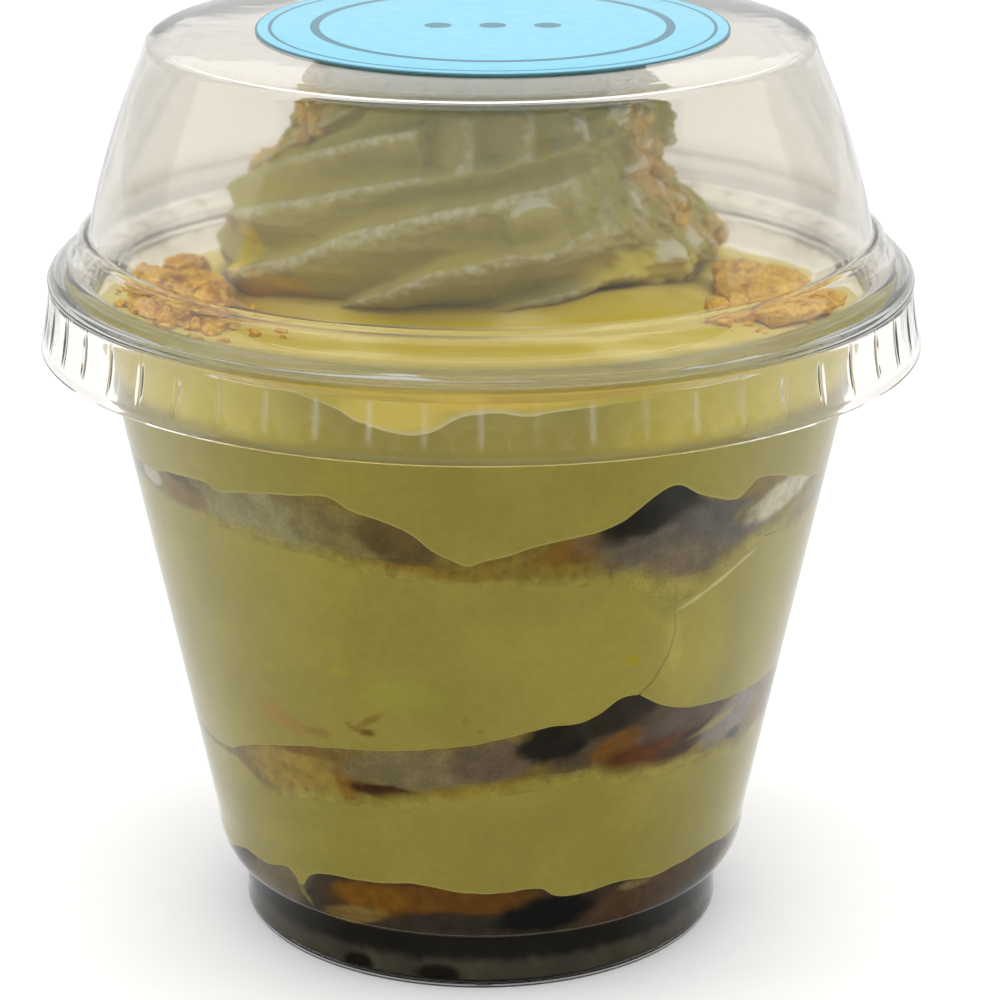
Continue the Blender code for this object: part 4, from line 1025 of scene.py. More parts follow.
def build_lid(context):
    """The lid: flat top, leaning dome, ledge that seats on the rim, flange and fluted skirt."""
    sizes, tints = context.scene.pudding_sizes, context.scene.pudding_colours
    reach, top, low = sizes.skirt_radius, sizes.lid_top, sizes.skirt_bottom
    shoulder = dome_radius(100.9 * MM, reach)
    profile = [(20 * MM, top), (33.2 * MM, top), (33.6 * MM, top - 0.12 * MM)]
    profile += arc(shoulder - 1.5 * MM, top - 1.75 * MM, 1.5 * MM, 1.5 * MM, 75, 10, 8)
    profile += [(dome_radius(h * MM, reach), h * MM) for h in (100, 98, 95.5, 92.5, 89, 86, 83.5, 82, 81.3)]
    profile += [(43.62 * MM, 80.95 * MM), (44.3 * MM, 80.7 * MM), (44.9 * MM, 80.2 * MM)]
    profile += [(45.2 * MM, 79.4 * MM), (45.6 * MM, 78.5 * MM), (46.1 * MM, 77.95 * MM)]
    profile += [(46.8 * MM, 77.6 * MM), (47.3 * MM, 77.2 * MM), (47.6 * MM, 76.6 * MM)]
    profile += arc(47.5 * MM, 75.9 * MM, 0.75 * MM, 0.7 * MM, 60, -40, 6)
    heights = (74.9, 74.5, 74.1, 73.6, 73.0, 72.4, 71.8, 71.2, 70.7, 70.3, 69.9, 69.5, 69.2)
    profile += [(48.15 * MM + (74.9 - h) * 0.145 * MM, h * MM) for h in heights]
    profile += [(reach - 0.1 * MM, 69.0 * MM), (reach, low + 0.1 * MM), (reach, low)]
    shares = (0.0, 0.03, 0.06, 0.1, 0.18, 0.34, 0.5, 0.66, 0.82, 0.9, 0.94, 0.97)
    turns = [(k + share) / sizes.flutes for k in range(sizes.flutes) for share in shares]

    def pressed(turn, height):
        """How far the skirt is pressed in: a narrow lens-shaped slit, with a soft pillow between slits."""
        if not SLIT_LOW < height < SLIT_HIGH:
            return 0.0
        share = (turn * sizes.flutes) % 1.0
        beside = min(share, 1 - share)
        run = math.sin(math.pi * (height - SLIT_LOW) / (SLIT_HIGH - SLIT_LOW))
        slit = 1 - smooth(beside, 0.0, 0.03 + 0.06 * run)
        return run * (sizes.flute_depth * slit + 0.12 * MM * (1 - smooth(beside, 0.0, 0.5)))

    def frosted(turn, height):
        """How white the stretched sheet is along a slit; no two slits are alike."""
        share = (turn * sizes.flutes) % 1.0
        run = smooth(height, 69.6 * MM, 71.2 * MM) * (1 - smooth(height, 73.6 * MM, 75.2 * MM))
        uneven = 0.6 + 0.8 * noise.noise(Vector((round(turn * sizes.flutes) * 3.7, 0.3, 0.0)))
        return run * uneven * (1 - smooth(min(share, 1 - share), 0.0, 0.1))

    def scuffed(turn, height):
        """How milky the folds are, far round from the front, where the sheet was drawn most."""
        far_round = smooth(min(turn, 1 - turn), 0.22, 0.32)
        folds = smooth(height, 74.4 * MM, 75.4 * MM) * (1 - smooth(height, 81.6 * MM, 83.5 * MM))
        return far_round * folds

    outer, inner, slits, scuffs = [], [], [], []
    for place, (radius, height) in enumerate(profile):
        before, after = profile[max(place - 1, 0)], profile[min(place + 1, len(profile) - 1)]
        way = Vector((after[0] - before[0], after[1] - before[1])).normalized()
        side = Vector((way.y, -way.x)) * sizes.lid_wall
        outer_loop, inner_loop = [], []
        for turn in turns:
            dent = pressed(turn, height)
            slits.append(frosted(turn, height))
            scuffs.append(scuffed(turn, height))
            outer_loop.append(polar(-360.0 * turn, radius - dent, height))
            inner_loop.append(polar(-360.0 * turn, radius + side.x - dent, height + side.y))
        outer.append(outer_loop)
        inner.append(inner_loop)
    points, faces = skin(outer + inner[::-1], (Vector((0, 0, top)), Vector((0, 0, top - sizes.lid_wall))))
    finish = clear_pet("PET lid, thermoformed", tints.pet_lid, tints.pet_ledge_shade)
    count = len(turns)
    values = {}
    for name, given in (("slit", slits), ("scuff", scuffs)):
        rows = [given[start:start + count] for start in range(0, len(given), count)]
        values[name] = [value for row in rows + rows[::-1] for value in row] + [0.0, 0.0]
    add_piece("dome_lid", points, faces, finish, "clear_plastic", ["lid"], values)


def build_sticker(context):
    sizes, tints = context.scene.pudding_sizes, context.scene.pudding_colours
    centre = (LABEL_LOW + LABEL_HIGH) / 2
    radius = sizes.label_radius
    low, high = LABEL_LOW.z, LABEL_HIGH.z
    profile = [(radius * 0.5, high), (radius - 0.15 * MM, high), (radius, high - 0.06 * MM)]
    profile += [(radius, low), (radius * 0.5, low)]
    loops = [[point + Vector((centre.x, centre.y, 0)) for point in loop] for loop in turned(profile, 144)]
    tips = (Vector((centre.x, centre.y, high)), Vector((centre.x, centre.y, low)))
    points, faces = skin(loops, tips)
    finish = sticker_finish(tints, centre, radius)
    add_piece("round_sticker", points, faces, finish, "sticker_paper", ["label"])


def pressed_in(bite, from_low, from_high, flush):
    """How far a layer is pressed into the wall: rounded at its edges, or flush with the fruit above it."""
    if flush:
        bite = FLUSH_BITE + (bite - FLUSH_BITE) * smooth(from_high, 0.0, 1.6 * MM)
        from_high = from_low
    edge = min(from_low, from_high)
    return bite * math.sqrt(max(0.0, 1 - max(0.0, 1 - edge / (0.35 * MM)) ** 2))


def layer(name, node, bottom, top, finish, slot, bite, steps, rows, tone, overlap=0.0, flush=False):
    """A layer right through the cup, pressed into the wall, with its lower edge rounded a little."""
    angles = [360.0 * k / steps - 180.0 for k in range(steps)]
    shares = (0.25, 0.55, 0.8, 0.93)
    loops, insets, tones = [], [], []

    def ring(level, share, shift):
        loops.append([])
        for angle in angles:
            height = level(angle, share) + shift
            loops[-1].append(polar(angle, share * inner_radius(height), height))
            insets.append(1.0)
            tones.append(tone(angle, height / MM))

    for share in shares:
        ring(top, share, overlap)
    edges = [(bottom(angle) - overlap, top(angle) + overlap) for angle in angles]
    for row in range(rows):
        loops.append([])
        part = 1 - row / (rows - 1)
        for angle, (low, high) in zip(angles, edges):
            height = low + (high - low) * (part - 0.11 * math.sin(math.tau * part))
            soft = pressed_in(bite, height - low, high - height, flush)
            loops[-1].append(polar(angle, inner_radius(height) + soft, height))
            insets.append((height - low) / MM)
            tones.append(tone(angle, height / MM))
    for share in reversed(shares):
        ring(bottom, share, -overlap)
    tips = (Vector((0, 0, top(0, 0) + overlap)), Vector((0, 0, bottom(0, 0) - overlap)))
    points, faces = skin(loops, tips)
    insets += [1.0, 1.0]
    tones += [tones[0], tones[-1]]
    return add_piece(name, points, faces, finish, slot, [node], {"inset": insets}, tones=tones)


def wall_piece(node, bottom, top, columns, finish, slot, bite, tone, smear, pudding):
    """A slice or broken wafer on the wall; it runs on a little behind its neighbours and the pudding."""
    lap = 2.2
    first, last = columns[0][0] - lap, columns[-1][0] + lap
    across = math.radians(last - first) * WALL_REACH
    steps, rows = max(12, int(across / (0.35 * MM))), 26
    seed = random.Random(node).uniform(0, 40)
    loops, tones = [], []
    for i in range(steps + 1):
        loops.append([])
        for row in range(rows + 1):
            part = row / rows
            ragged = 1.4 * noise.noise(Vector((seed, part * 2.5, 0.0)))
            lean = 0.6 * (part - 0.5)
            angle = first + (last - first) * i / steps
            squeeze = 1.0 - abs(2 * i / steps - 1)
            angle += (ragged + lean) * (1 - squeeze)
            low_share, high_share = along(columns, angle)
            floor, roof = bottom(angle), top(angle)
            low = floor + (roof - floor) * low_share - (TUCK if low_share < 0.02 else 0.3 * MM)
            high = floor + (roof - floor) * high_share + (TUCK if high_share > 0.98 else 0.1 * MM)
            height = low + (high - low) * part
            end = min(i, steps - i) / steps * across
            edge = min(end, height - low, high - height)
            inset = 0.08 * MM * max(0.0, 1 - edge / (0.3 * MM)) ** 2
            loops[-1].append(polar(angle, inner_radius(height) + bite - inset, height))
            shade = tone(angle, height / MM)
            if smear:
                up = (height - floor) / max(roof - floor, 0.5 * MM)
                up += 0.12 * ripple(angle, height, 5.5 * MM, seed)
                shade = shade.lerp(pudding, 1 - smooth(up, 0.0, smear))
            tones.append(shade)
        for height in (high, low):
            loops[-1].append(polar(angle, 0.8 * inner_radius(height), height))
            tones.append(tones[-1])
    points, faces = skin(loops, (None, None))
    add_piece(node + "_soaked", points, faces, finish, slot, [node], tones=tones)


def strokes_behind(pieces, bottom, top):
    """Strokes for the pieces at the sides and back, laid in the manner of those in front."""
    laid = []
    for piece, kind, columns in pieces:
        first, last = columns[0][0], columns[-1][0]
        if first > -80 and last < 80:
            continue
        draw = random.Random(piece)
        centre, half = (first + last) / 2, math.radians(last - first) * 17
        middle = (bottom(centre) + top(centre)) / 2 / MM
        main, *others = BACK_TONES[kind]
        laid.append((centre, middle, half * 1.03, 4.6, draw.uniform(-5, 5), main, 1))
        for _ in range(6):
            angle = draw.uniform(first, last)
            level = (bottom(angle) + (top(angle) - bottom(angle)) * draw.uniform(0.15, 0.95)) / MM
            size = draw.uniform(2.2, 6.0)
            tilt = draw.uniform(-16, 16)
            wide = size * draw.uniform(0.25, 0.55)
            laid.append((angle, level, size, wide, tilt, draw.choice(others), 0.85))
        end = draw.uniform(-20, 20)
        laid.append((last, middle, 1.4, 3.0, end, "7A6728", 0.6))
    return tuple(laid)


def painted_light_above(tone, target, low, high):
    """A colouring that turns brighter above a height in millimetres, partly the pudding's own and partly
    painted light, most of all away from the front, where the sides are lit.
    """
    goal = Vector(target)

    def lit_tone(angle, height):
        share = 0.3 + 0.7 * smooth(abs(angle + 3), 14, 34)
        return tone(angle, height).lerp(goal, share * smooth(height, low, high))

    return lit_tone


def build_fillings(context):
    """Every layer of the cup, from the near-black fill in the foot to the pudding under the custard."""
    sizes, tints = context.scene.pudding_food, context.scene.pudding_colours
    steps = sizes.steps
    pudding = pudding_finish(tints)
    banana, wafer, mash = banana_finish(), wafer_finish(), mash_finish()
    floor = level_surface((FOOT_RECESS + CUP_WALL) / MM)
    dark_foot_top = level_surface(DARK_FOOT_TOP)
    base_top, lower_bottom = surface(BASE_TOP, seed=1.0), surface(LOWER_FRUIT_BOTTOM, seed=2.0)
    lower_top, upper_bottom = surface(LOWER_FRUIT_TOP, seed=3.0), surface(UPPER_FRUIT_BOTTOM, seed=4.0)
    upper_top, custard_bottom = surface(UPPER_FRUIT_TOP, seed=5.0), surface(CUSTARD_BOTTOM, seed=6.0)
    dark = painted(tints.syrup, DARK_FOOT_STROKES)
    dark_fill = (dark_foot_finish(), "dark_syrup", PUDDING_BITE, steps, 24)
    layer("dark_foot_fill", "dark_syrup", floor, dark_foot_top, *dark_fill, dark)
    for name, node, bottom, top, pieces, strokes, smear in (
        ("mash_base", "fruit_base", dark_foot_top, base_top, BASE_PIECES, BASE_STROKES, 0.0),
        ("mash_lower", "fruit_lower", lower_bottom, lower_top, LOWER_PIECES, LOWER_STROKES, 0.3),
        ("mash_upper", "fruit_upper", upper_bottom, upper_top, UPPER_PIECES, UPPER_STROKES, 0.32),
    ):
        ground = tints.banana_dark if name == "mash_base" else tints.mash
        tone = painted(ground, strokes_behind(pieces, bottom, top) + strokes)
        layer(name, node, bottom, top, mash, "banana_mash", MASH_BITE, steps, 24, tone, TUCK)
        for place, (piece, kind, columns) in enumerate(pieces):
            finish, slot = (banana, "banana") if kind.startswith("banana") else (wafer, "wafer")
            bite = FRUIT_BITE + 0.03 * MM * (place % 2)
            wall_piece(piece, bottom, top, columns, finish, slot, bite, tone, smear, Vector(tints.pudding))
    tone = painted(tints.pudding, PUDDING_STROKES)
    # The pudding near the rim turns brighter: partly painted light, strongest at the sides
    lit_tone = painted_light_above(tone, tints.pudding_top, 65.6, 68.0)

    def behind_custard(angle, share=1.0):
        return custard_bottom(angle, share) + 0.4 * MM

    wet = (pudding, "pudding", PUDDING_BITE, steps, 40)
    layer("pudding_low", "pudding_bottom", base_top, lower_bottom, *wet, tone, flush=True)
    layer("pudding_high", "pudding_top", upper_top, behind_custard, *wet, lit_tone)
    build_dollops(lower_top, upper_bottom, pudding, steps, tone)


def build_dollops(bottom, top, finish, steps, tone):
    """The two dollops of the middle layer, which meet along a slanted seam and at the back."""
    for name, node, start, end, share_of_ring, bite in (
        ("dollop_left", "pudding_middle_left", BACK_SEAM - 360.0, None, 0.68, PUDDING_BITE),
        ("dollop_right", "pudding_middle_right", None, BACK_SEAM, 0.34, PUDDING_BITE + 0.03 * MM),
    ):
        rows, count = 60, int(steps * share_of_ring)
        span = math.radians(360 * share_of_ring) * 34 * MM
        loops, insets, tones = [], [], []
        for i in range(count + 1):
            share = i / count
            loop, middle = [], 0.0
            for row in range(rows + 1):
                part = row / rows
                seam_angle = 33.0
                for _ in range(3):
                    first = (start if start is not None else seam_angle) - 0.22
                    last = (end if end is not None else seam_angle) + 0.22
                    angle = first + (last - first) * share
                    low, high = bottom(angle), top(angle)
                    height = low + (high - low) * part
                    seam_angle = along(SEAM, height / MM)[0]
                from_edge = min(height - low, share * span, (1 - share) * span)
                soft = pressed_in(bite, from_edge, high - height, True)
                loop.append(polar(angle, inner_radius(height) + soft, height))
                insets.append((height - low) / MM)
                tones.append(tone(angle, height / MM))
                if row == rows // 2:
                    middle = angle
            for level, reaches in ((top, (0.9, 0.5)), (bottom, (0.5, 0.9))):
                for reach in reaches:
                    height = level(middle, reach)
                    loop.append(polar(middle, reach * inner_radius(height), height))
                    insets.append(1.0)
                    tones.append(tones[-1])
            loops.append(loop)
        points, faces = skin(loops, (None, None))
        add_piece(name, points, faces, finish, "pudding", [node], {"inset": insets}, tones=tones)


def custard_height(angle, share):
    """The custard's top: nearly flat, spoon-marked, humped at the front right and higher at the cream."""
    base = surface(CUSTARD_TOP, flatness=4.0, wander=0.0)(angle, share)
    spot = polar(angle, share, 0.0)
    marks = 0.45 * MM * noise.noise(Vector((spot.x * 2.6, spot.y * 5.0, 1.0)))
    marks += 0.18 * MM * noise.noise(Vector((spot.x * 9.0, spot.y * 9.0, 4.0)))
    hump = 2.4 * MM * math.exp(-(((angle - 34) / 20) ** 2) - ((share - 0.66) / 0.13) ** 2)
    swell = 2.2 * MM * (1 - smooth(share, 0.52, 0.76))
    return base + marks * smooth(share, 0.3, 0.6) + hump + swell


def custard_tone(base, pale, angle, share):
    """The custard's top: paler towards the sides, and a deeper gold between heap and cream, a painted shade
    at the cream's foot.
    """
    shade = Vector(base).lerp(Vector(pale), 0.7 * smooth(abs(angle), 28, 62) * smooth(share, 0.6, 0.9))
    # Painted shade: a deeper gold where the cream's foot shades the custard
    golden = math.exp(-(((angle + 70) / 24) ** 2) - ((share - 0.685) / 0.09) ** 2)
    return shade.lerp(Vector(linear("D2AA2C")), 0.85 * golden)


def build_custard(context):
    sizes, tints = context.scene.pudding_food, context.scene.pudding_colours
    steps = sizes.steps
    bottom = surface(CUSTARD_BOTTOM, seed=6.0)
    angles = [360.0 * k / steps - 180.0 for k in range(steps)]
    # The custard's wall starts from the pudding's brighter rim colour, which is partly painted light
    wall_tone = painted(Vector(tints.pudding_top).lerp(Vector(tints.custard), 0.2), CUSTARD_STROKES)
    loops, insets, tones, tops = [], [], [], []
    for i in range(46):
        share = 0.3 + 0.685 * i / 45
        loops.append([])
        for angle in angles:
            height = custard_height(angle, share)
            loops[-1].append(polar(angle, share * inner_radius(height), height))
            insets.append(3.0)
            tones.append(custard_tone(tints.custard, tints.custard_pale, angle, share))
            tops.append(1.0)
    rows = 24
    for row in range(rows + 1):
        loops.append([])
        for angle in angles:
            high, low = custard_height(angle, 1.0), bottom(angle)
            height = high + (low - high) * row / rows
            edge = min(high - height, height - low)
            soft = pressed_in(PUDDING_BITE + 0.04 * MM, edge, edge, False)
            loops[-1].append(polar(angle, inner_radius(height) + soft, height))
            # The painted highlight along the lower edge is widest at the front
            edge_highlight_run = math.exp(-(((angle + 4) / 20) ** 2))
            insets.append((height - low) / MM / max(0.05, edge_highlight_run))
            top_tone = custard_tone(tints.custard, tints.custard_pale, angle, 1.0)
            tones.append(top_tone.lerp(wall_tone(angle, height / MM), smooth(row, 0, 3)))
            tops.append(1 - smooth(row, 0, 3))
    for share in (0.93, 0.7, 0.4):
        loops.append([polar(a, share * inner_radius(bottom(a, share)), bottom(a, share)) for a in angles])
        insets += [1.0] * steps
        tones += [Vector(tints.custard)] * steps
        tops += [0.0] * steps
    tips = (Vector((0, 0, custard_height(0, 0))), Vector((0, 0, bottom(0, 0))))
    points, faces = skin(loops, tips)
    values = {"inset": insets + [3.0, 1.0], "top": tops + [1.0, 0.0]}
    tones += [Vector(tints.custard)] * 2
    finish = custard_finish(tints)
    add_piece("custard_top", points, faces, finish, "custard", ["custard_cap"], values, tones=tones)


# The cream's outline: height, radius and fold depth
CREAM_PROFILE = (
    (75.6, 21.5, 0.5), (76.6, 24.4, 0.9), (78.5, 26.2, 1.3), (81.0, 26.6, 1.4), (84.0, 25.6, 1.4),
    (87.0, 23.4, 1.3), (89.5, 21.6, 1.2), (91.5, 20.9, 1.1), (94.0, 20.6, 1.0), (97.0, 20.1, 0.9),
    (99.2, 17.8, 0.7), (100.6, 13.0, 0.4), (101.3, 6.5, 0.1),
)

# The height where the lower folds end in a lip, for each angle
CREAM_LIP = (
    (-180, 87.0), (-130, 83.0), (-99, 84.5), (-80, 87.6), (-66, 90.9), (-43, 94.5), (-35, 97.6),
    (-29, 102.5),
    (-19.5, 102.5), (-16.5, 91.0), (5, 92.4), (15.5, 93.1), (40, 94.5), (70, 95.0), (120, 92.0),
    (180, 87.0),
)

# The crest lines of the front folds: a number for each, then its height at each angle
CREAM_LINES = (
    (3, ((-115, 78.0), (-90, 81.5), (-78, 83.2), (-66.6, 85.0), (-53, 86.8), (-38, 88.6), (-23, 90.1),
         (-9, 91.4), (5, 92.4), (15.5, 93.1), (40, 94.5), (70, 96.5), (115, 99.0))),
    (2, ((-115, 72.0), (-78, 76.5), (-60, 79.5), (-44.5, 82.3), (-37.7, 84.2), (-29.4, 85.7), (-15.6, 87.1),
         (1.6, 88.3), (8.9, 89.2), (25, 90.2), (50, 91.6), (115, 94.5))),
    (1, ((-115, 66.5), (-60, 71.5), (-40, 75.2), (-24, 78.9), (-16.5, 80.5), (-9.7, 81.9), (4.5, 83.5),
         (18.7, 84.5), (40, 86.0), (60, 87.5), (115, 90.0))),
    (0, ((-115, 61.0), (-30, 72.5), (-5, 76.0), (10, 78.2), (25, 79.6), (45, 81.0), (70, 82.5),
         (115, 85.4))),
    (-1, ((-115, 56.0), (-30, 66.0), (20, 72.4), (40, 75.0), (60, 77.0), (80, 78.6), (115, 81.0))),
    (-2, ((-115, 50.0), (-30, 60.0), (20, 66.4), (40, 69.0), (60, 71.6), (80, 73.6), (115, 76.4))),
)

# The cream's outline at its left and at its right, as height and radius
CREAM_LEFT = (
    (75.6, 27.4), (76.7, 29.0), (79.2, 29.6), (81.7, 27.5), (84.7, 28.4), (88.6, 23.9), (91.8, 21.4),
    (94.8, 20.9), (98.6, 18.7), (101.3, 7.0),
)
CREAM_RIGHT = (
    (75.4, 23.1), (79.2, 26.5), (80.9, 26.9), (83.9, 23.4), (87.7, 20.2), (89.8, 19.2), (92.3, 21.7),
    (94.8, 20.5), (98.0, 18.4), (101.3, 7.0),
)

# Where crumbs lie in the cream: angle, height and spread
STAINS = (
    (-70, 93.0, 3.4), (-74, 97.0, 3.0), (-98, 87.5, 1.6), (60, 96.0, 3.4), (66, 90.0, 3.0),
    (74, 85.0, 3.0), (82, 81.0, 2.6), (110, 87.0, 3.0), (160, 92.0, 3.6), (230, 90.0, 3.4),
)


def fold_phase(angle, height, folds):
    """How many folds up the cream a point lies; a crest runs along each whole number."""
    helix = (8.33 * (height - 74.7) - angle) * folds / 360.0 - 0.65
    front = 1 - smooth(abs(angle), 80, 115)
    if front == 0.0:
        return helix
    levels = [(along(line, angle)[0] + 1.1, number) for number, line in reversed(CREAM_LINES)]
    levels.append((levels[-1][0] + 5.0, levels[-1][1] + 1))
    return helix + (along(levels, height)[0] - helix) * front


def cream_point(angle, height, folds):
    """A point of the cream's surface and how near it lies to a crest, which sets its painted highlight,
    raised on the curds at the right and on the knob's upper rim.
    """
    radius, depth = along(CREAM_PROFILE, height)
    turn = math.radians(angle)
    low = max(0.0, 1.0 - (height - 76.1) / 12)
    sway = low * (-2.0 * math.sin(turn) - 2.0 * math.cos(turn) - 0.8 * math.cos(3 * turn + 0.6))
    notch = 6.0 * math.exp(-(((angle - 36.0) / 13.0) ** 2) - ((height - 76.1) / 2.6) ** 2)
    dome = 1.0 - ((angle - 14.0) / 8.0) ** 2 - ((height - 86.4) / 3.0) ** 2
    knob = 2.2 * math.sqrt(max(0.0, dome)) + 0.3 * math.exp(4.0 * min(0.0, dome))
    lobe = 1.5 * math.exp(-(((angle - 52.0) / 11.0) ** 2) - ((height - 79.5) / 2.6) ** 2)
    side = smooth(abs(math.sin(turn)), 0.72, 0.99)
    edge = along(CREAM_LEFT if angle < 0 else CREAM_RIGHT, height)[0]
    radius = radius + sway
    radius += (edge - 0.4 - radius) * side
    spot = polar(angle, 22, height)
    share = (fold_phase(angle, height, folds) + 0.06 * noise.noise(spot / 7)) % 1.0
    rise = smooth(share, 0.0, 0.9) * (1 - smooth(share, 0.93, 1.0))
    fold = (1.9 * rise - 0.9) * depth + 0.3
    lip = along(CREAM_LIP, angle)[0] + 0.5 * noise.noise(spot / 3)
    under = 1 - smooth(height, lip - 0.15, lip + 1.0)
    lean = 0.4 + 5.0 * smooth(-angle, 15, 50)
    pleat = ((angle + lean * (98 - height) - 1.3) / 17.7 + 0.22 * noise.noise(spot / 6)) % 1.0
    ridge = smooth(pleat, 0.0, 0.75) * (1 - smooth(pleat, 0.84, 1.0))
    peak = (2.0 * ridge - 1.0) * 0.75 * min(1.0, (101.3 - height) / 4) - 0.7
    lumpy = smooth(angle, 20, 44) * (1 - smooth(angle, 125, 160))
    curd = abs(noise.noise(spot / 2.7)) + 0.4 * abs(noise.noise(spot / 1.2))
    rough = 0.2 * noise.fractal(spot / 2.4, 0.8, 2.2, 4)
    rough += lumpy * 0.9 * noise.fractal(spot / 4.4, 1.0, 2.1, 2)
    rough += lumpy * (2.0 * curd - 0.7)
    rough += 1.3 * low**3 * noise.noise(polar(angle, 7.0, 3.0))
    torn = 0.3 * noise.noise(spot / 0.9) * max(rise * under, ridge * (1 - under)) ** 2
    out = (under * fold + (1 - under) * peak) * (1 - max(0.75 * lumpy, 0.5 * side))
    radius = radius - notch + knob + lobe + out + rough + torn
    crest = (under * rise + (1 - under) * ridge * 0.94) * (1 - 0.7 * lumpy)
    # A painted highlight on the curds at the right
    crest += lumpy * (0.25 + 1.1 * curd)
    # A painted highlight on the knob's upper rim
    crest += 0.3 * math.exp(-(((dome - 0.12) / 0.2) ** 2)) * smooth(height, 85.5, 88.0)
    droop = 0.3 * rise * depth * under * (height < 99)
    return polar(angle, radius * MM, (height - droop) * MM), crest


def build_cream(context):
    sizes, tints = context.scene.pudding_food, context.scene.pudding_colours
    columns, rows = 480, 190
    low, high = CREAM_PROFILE[0][0], CREAM_PROFILE[-1][0]
    tone = painted(tints.cream, CREAM_STROKES, 24.0)
    loops, crests, tones = [], [], []
    for row in range(rows + 1):
        height = high - (high - low) * row / rows
        loops.append([])
        for column in range(columns):
            angle = 360.0 * column / columns - 180.0
            point, crest = cream_point(angle, height, sizes.folds)
            loops[-1].append(point)
            crests.append(crest)
            tones.append(tone(angle, height))
    points, faces = skin(loops, (Vector((0, 0, 101.5 * MM)), Vector((0, 0, 75.5 * MM))))
    values = {"crest": crests + [0.5, 0.0]}
    tones += [tones[0], tones[-1]]
    finish = cream_finish(tints)
    add_piece("piped_cream", points, faces, finish, "whipped_cream", ["cream_swirl"], values, 180, tones)


def lump(points, faces, place, size, draw, squash=0.75):
    """Adds one crumb: a coarse ball pushed about at random."""
    ball = crumb_ball()
    start = len(points)
    turn = Matrix.Rotation(draw.uniform(0, math.tau), 3, Vector((draw.random(), draw.random(), 0.6)))
    stretch = Vector((draw.uniform(0.75, 1.25), draw.uniform(0.75, 1.1), draw.uniform(0.6, 0.9)))
    stretch.z *= squash / 0.75
    seed = Vector((draw.uniform(0, 50), 0, 0))
    for corner in ball[0]:
        bumpy = 1 + 0.45 * noise.noise(corner * 1.7 + seed)
        bent = Vector(c * s for c, s in zip(corner * bumpy, stretch))
        points.append(place + turn @ bent * size / 2)
    faces += [tuple(start + i for i in face) for face in ball[1]]


BALLS = []


def crumb_ball():
    """Points and faces of a ball with 80 triangles, made once."""
    if not BALLS:
        shape = bmesh.new()
        bmesh.ops.create_icosphere(shape, subdivisions=2, radius=1.0)
        corners = [vert.co.copy() for vert in shape.verts]
        BALLS.append((corners, [tuple(vert.index for vert in face.verts) for face in shape.faces]))
        shape.free()
    return BALLS[0]


def rough_copy(name, node, finish, slot, cuts, depth, size, squash=1.0, shrink=1.0):
    """A finer copy of a solid, with relief of the given depth and size, pressed down about its foot."""
    shape = bmesh.new()
    shape.from_mesh(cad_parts[node].data)
    bmesh.ops.remove_doubles(shape, verts=shape.verts, dist=0.01 * MM)
    for _ in range(cuts):
        bmesh.ops.subdivide_edges(shape, edges=shape.edges, cuts=1, use_grid_fill=True, smooth=0.15)
        bmesh.ops.triangulate(shape, faces=shape.faces)
    shape.normal_update()
    low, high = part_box(node)
    foot = Vector(((low.x + high.x) / 2, (low.y + high.y) / 2, low.z))
    moves = []
    for vert in shape.verts:
        grain = noise.fractal(vert.co / size, 0.9, 2.1, 4)
        place = vert.co + vert.normal * depth * grain - foot
        moves.append(foot + Vector((place.x * shrink, place.y * shrink, place.z * squash)))
    for vert, place in zip(shape.verts, moves):
        vert.co = place
    points = [vert.co.copy() for vert in shape.verts]
    shape.verts.index_update()
    faces = [tuple(v.index for v in face.verts) for face in shape.faces]
    shape.free()
    return add_piece(name, points, faces, finish, slot, [node], sharp=180)


def build_toppings(context):
    """The crumb heap at the left, the broken wafer at the right and the crumbs scattered round them."""
    sizes, tints = context.scene.pudding_food, context.scene.pudding_colours
    finish = crumb_finish(tints)
    rough_copy("crumb_mound", "crumb_heap", finish, "wafer", 4, 0.6 * MM, 1.0 * MM, 0.62, 0.84)
    rough_copy("broken_wafer", "wafer_piece", finish, "wafer", 4, 0.5 * MM, 1.2 * MM)
    draw = random.Random(21)
    points, faces = [], []
    for _ in range(sizes.heap_crumbs):
        angle = draw.gauss(-67, 11)
        share = min(0.95, max(0.68, draw.gauss(0.84, 0.06)))
        size = sizes.crumb_size * draw.uniform(0.35, 1.2)
        near_middle = math.exp(-(((angle + 67) / 15) ** 2) - ((share - 0.84) / 0.08) ** 2)
        height = custard_height(angle, share) + 1.9 * MM * near_middle + 0.05 * size
        lump(points, faces, polar(angle, share * inner_radius(74 * MM), height), size, draw)
    for _ in range(50):
        angle = draw.gauss(64, 9)
        share = min(0.95, max(0.74, draw.gauss(0.86, 0.05)))
        size = sizes.crumb_size * draw.uniform(0.25, 0.7)
        height = custard_height(angle, share) + 0.1 * size
        lump(points, faces, polar(angle, share * inner_radius(74 * MM), height), size, draw)
    for angle, share, size in ((50.0, 0.775, 4.6), (53.5, 0.80, 4.2), (48.5, 0.80, 3.0), (56.0, 0.77, 4.4)):
        height = custard_height(angle, share) + 0.5 * MM
        lump(points, faces, polar(angle, share * inner_radius(74 * MM), height), size * MM, draw, 0.5)
    add_piece("loose_crumbs", points, faces, finish, "wafer", [])
    points, faces = [], []
    for angle, height, size in STAINS:
        for _ in range(22):
            turn = draw.gauss(angle, 2.2 * size)
            level = min(100.0, draw.gauss(height, 0.45 * size))
            place = cream_point(turn, level, sizes.folds)[0]
            place.xy *= 0.98
            lump(points, faces, place, sizes.crumb_size * draw.uniform(0.5, 1.5), draw)
    add_piece("cream_crumbs", points, faces, cream_soaked(tints), "wafer", [])


class PUDDING_OT_stage(bpy.types.Operator):
    """Set up the floor, the lights and the camera"""

    bl_idname = "pudding.stage"
    bl_label = "Stage"

    def execute(self, context):
        build_stage(context)
        return {"FINISHED"}


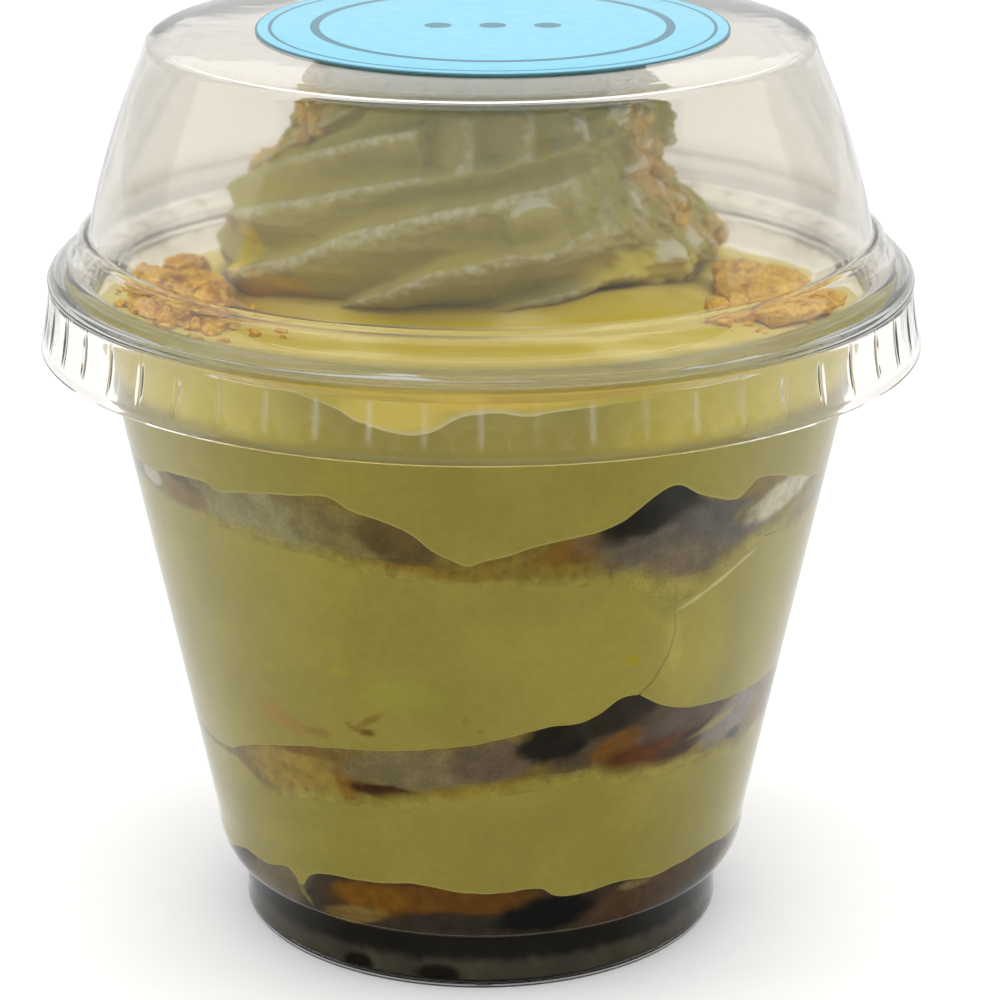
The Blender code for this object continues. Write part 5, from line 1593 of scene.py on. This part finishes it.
class PUDDING_OT_cup(bpy.types.Operator):
    """Build the clear cup"""

    bl_idname = "pudding.cup"
    bl_label = "Cup"

    def execute(self, context):
        build_cup(context)
        return {"FINISHED"}


class PUDDING_OT_lid(bpy.types.Operator):
    """Build the clear domed lid with its fluted skirt"""

    bl_idname = "pudding.lid"
    bl_label = "Lid"

    def execute(self, context):
        build_lid(context)
        return {"FINISHED"}


class PUDDING_OT_sticker(bpy.types.Operator):
    """Build the round sticker on the lid"""

    bl_idname = "pudding.sticker"
    bl_label = "Sticker"

    def execute(self, context):
        build_sticker(context)
        return {"FINISHED"}


class PUDDING_OT_fillings(bpy.types.Operator):
    """Build the layers of syrup, pudding, banana and wafer"""

    bl_idname = "pudding.fillings"
    bl_label = "Fillings"

    def execute(self, context):
        build_fillings(context)
        return {"FINISHED"}


class PUDDING_OT_custard(bpy.types.Operator):
    """Build the golden top layer"""

    bl_idname = "pudding.custard"
    bl_label = "Custard"

    def execute(self, context):
        build_custard(context)
        return {"FINISHED"}


class PUDDING_OT_cream(bpy.types.Operator):
    """Build the piped cream"""

    bl_idname = "pudding.cream"
    bl_label = "Cream"

    def execute(self, context):
        build_cream(context)
        return {"FINISHED"}


class PUDDING_OT_toppings(bpy.types.Operator):
    """Build the crumb heap, the broken wafer and the loose crumbs"""

    bl_idname = "pudding.toppings"
    bl_label = "Toppings"

    def execute(self, context):
        build_toppings(context)
        return {"FINISHED"}


class PUDDING_PT_panel(bpy.types.Panel):
    """Sizes, colours and pieces of the pudding cup"""

    bl_idname = "PUDDING_PT_panel"
    bl_label = "Banana Pudding Cup"
    bl_space_type = "VIEW_3D"
    bl_region_type = "UI"
    bl_category = "Pudding"

    def draw(self, context):
        layout = self.layout
        for operator in OPERATORS:
            layout.operator(operator.bl_idname)
        for group_name, kind in GROUPS.items():
            for name in kind.__annotations__:
                layout.prop(getattr(context.scene, group_name), name)


GROUPS = {
    "pudding_sizes": PuddingCupSizes,
    "pudding_food": PuddingFoodSizes,
    "pudding_colours": PuddingColours,
    "pudding_stage": PuddingStage,
}
OPERATORS = (
    PUDDING_OT_stage,
    PUDDING_OT_cup,
    PUDDING_OT_lid,
    PUDDING_OT_sticker,
    PUDDING_OT_fillings,
    PUDDING_OT_custard,
    PUDDING_OT_cream,
    PUDDING_OT_toppings,
)


def register():
    for kind in (*GROUPS.values(), *OPERATORS, PUDDING_PT_panel):
        bpy.utils.register_class(kind)
    for name, group in GROUPS.items():
        setattr(bpy.types.Scene, name, PointerProperty(type=group))


def unregister():
    for name in GROUPS:
        delattr(bpy.types.Scene, name)
    for kind in (PUDDING_PT_panel, *reversed(OPERATORS), *reversed(GROUPS.values())):
        bpy.utils.unregister_class(kind)


def main():
    register()
    bpy.ops.pudding.stage()
    bpy.ops.pudding.cup()
    bpy.ops.pudding.lid()
    bpy.ops.pudding.sticker()
    bpy.ops.pudding.fillings()
    bpy.ops.pudding.custard()
    bpy.ops.pudding.cream()
    bpy.ops.pudding.toppings()
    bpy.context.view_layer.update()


if __name__ == "__main__":
    main()
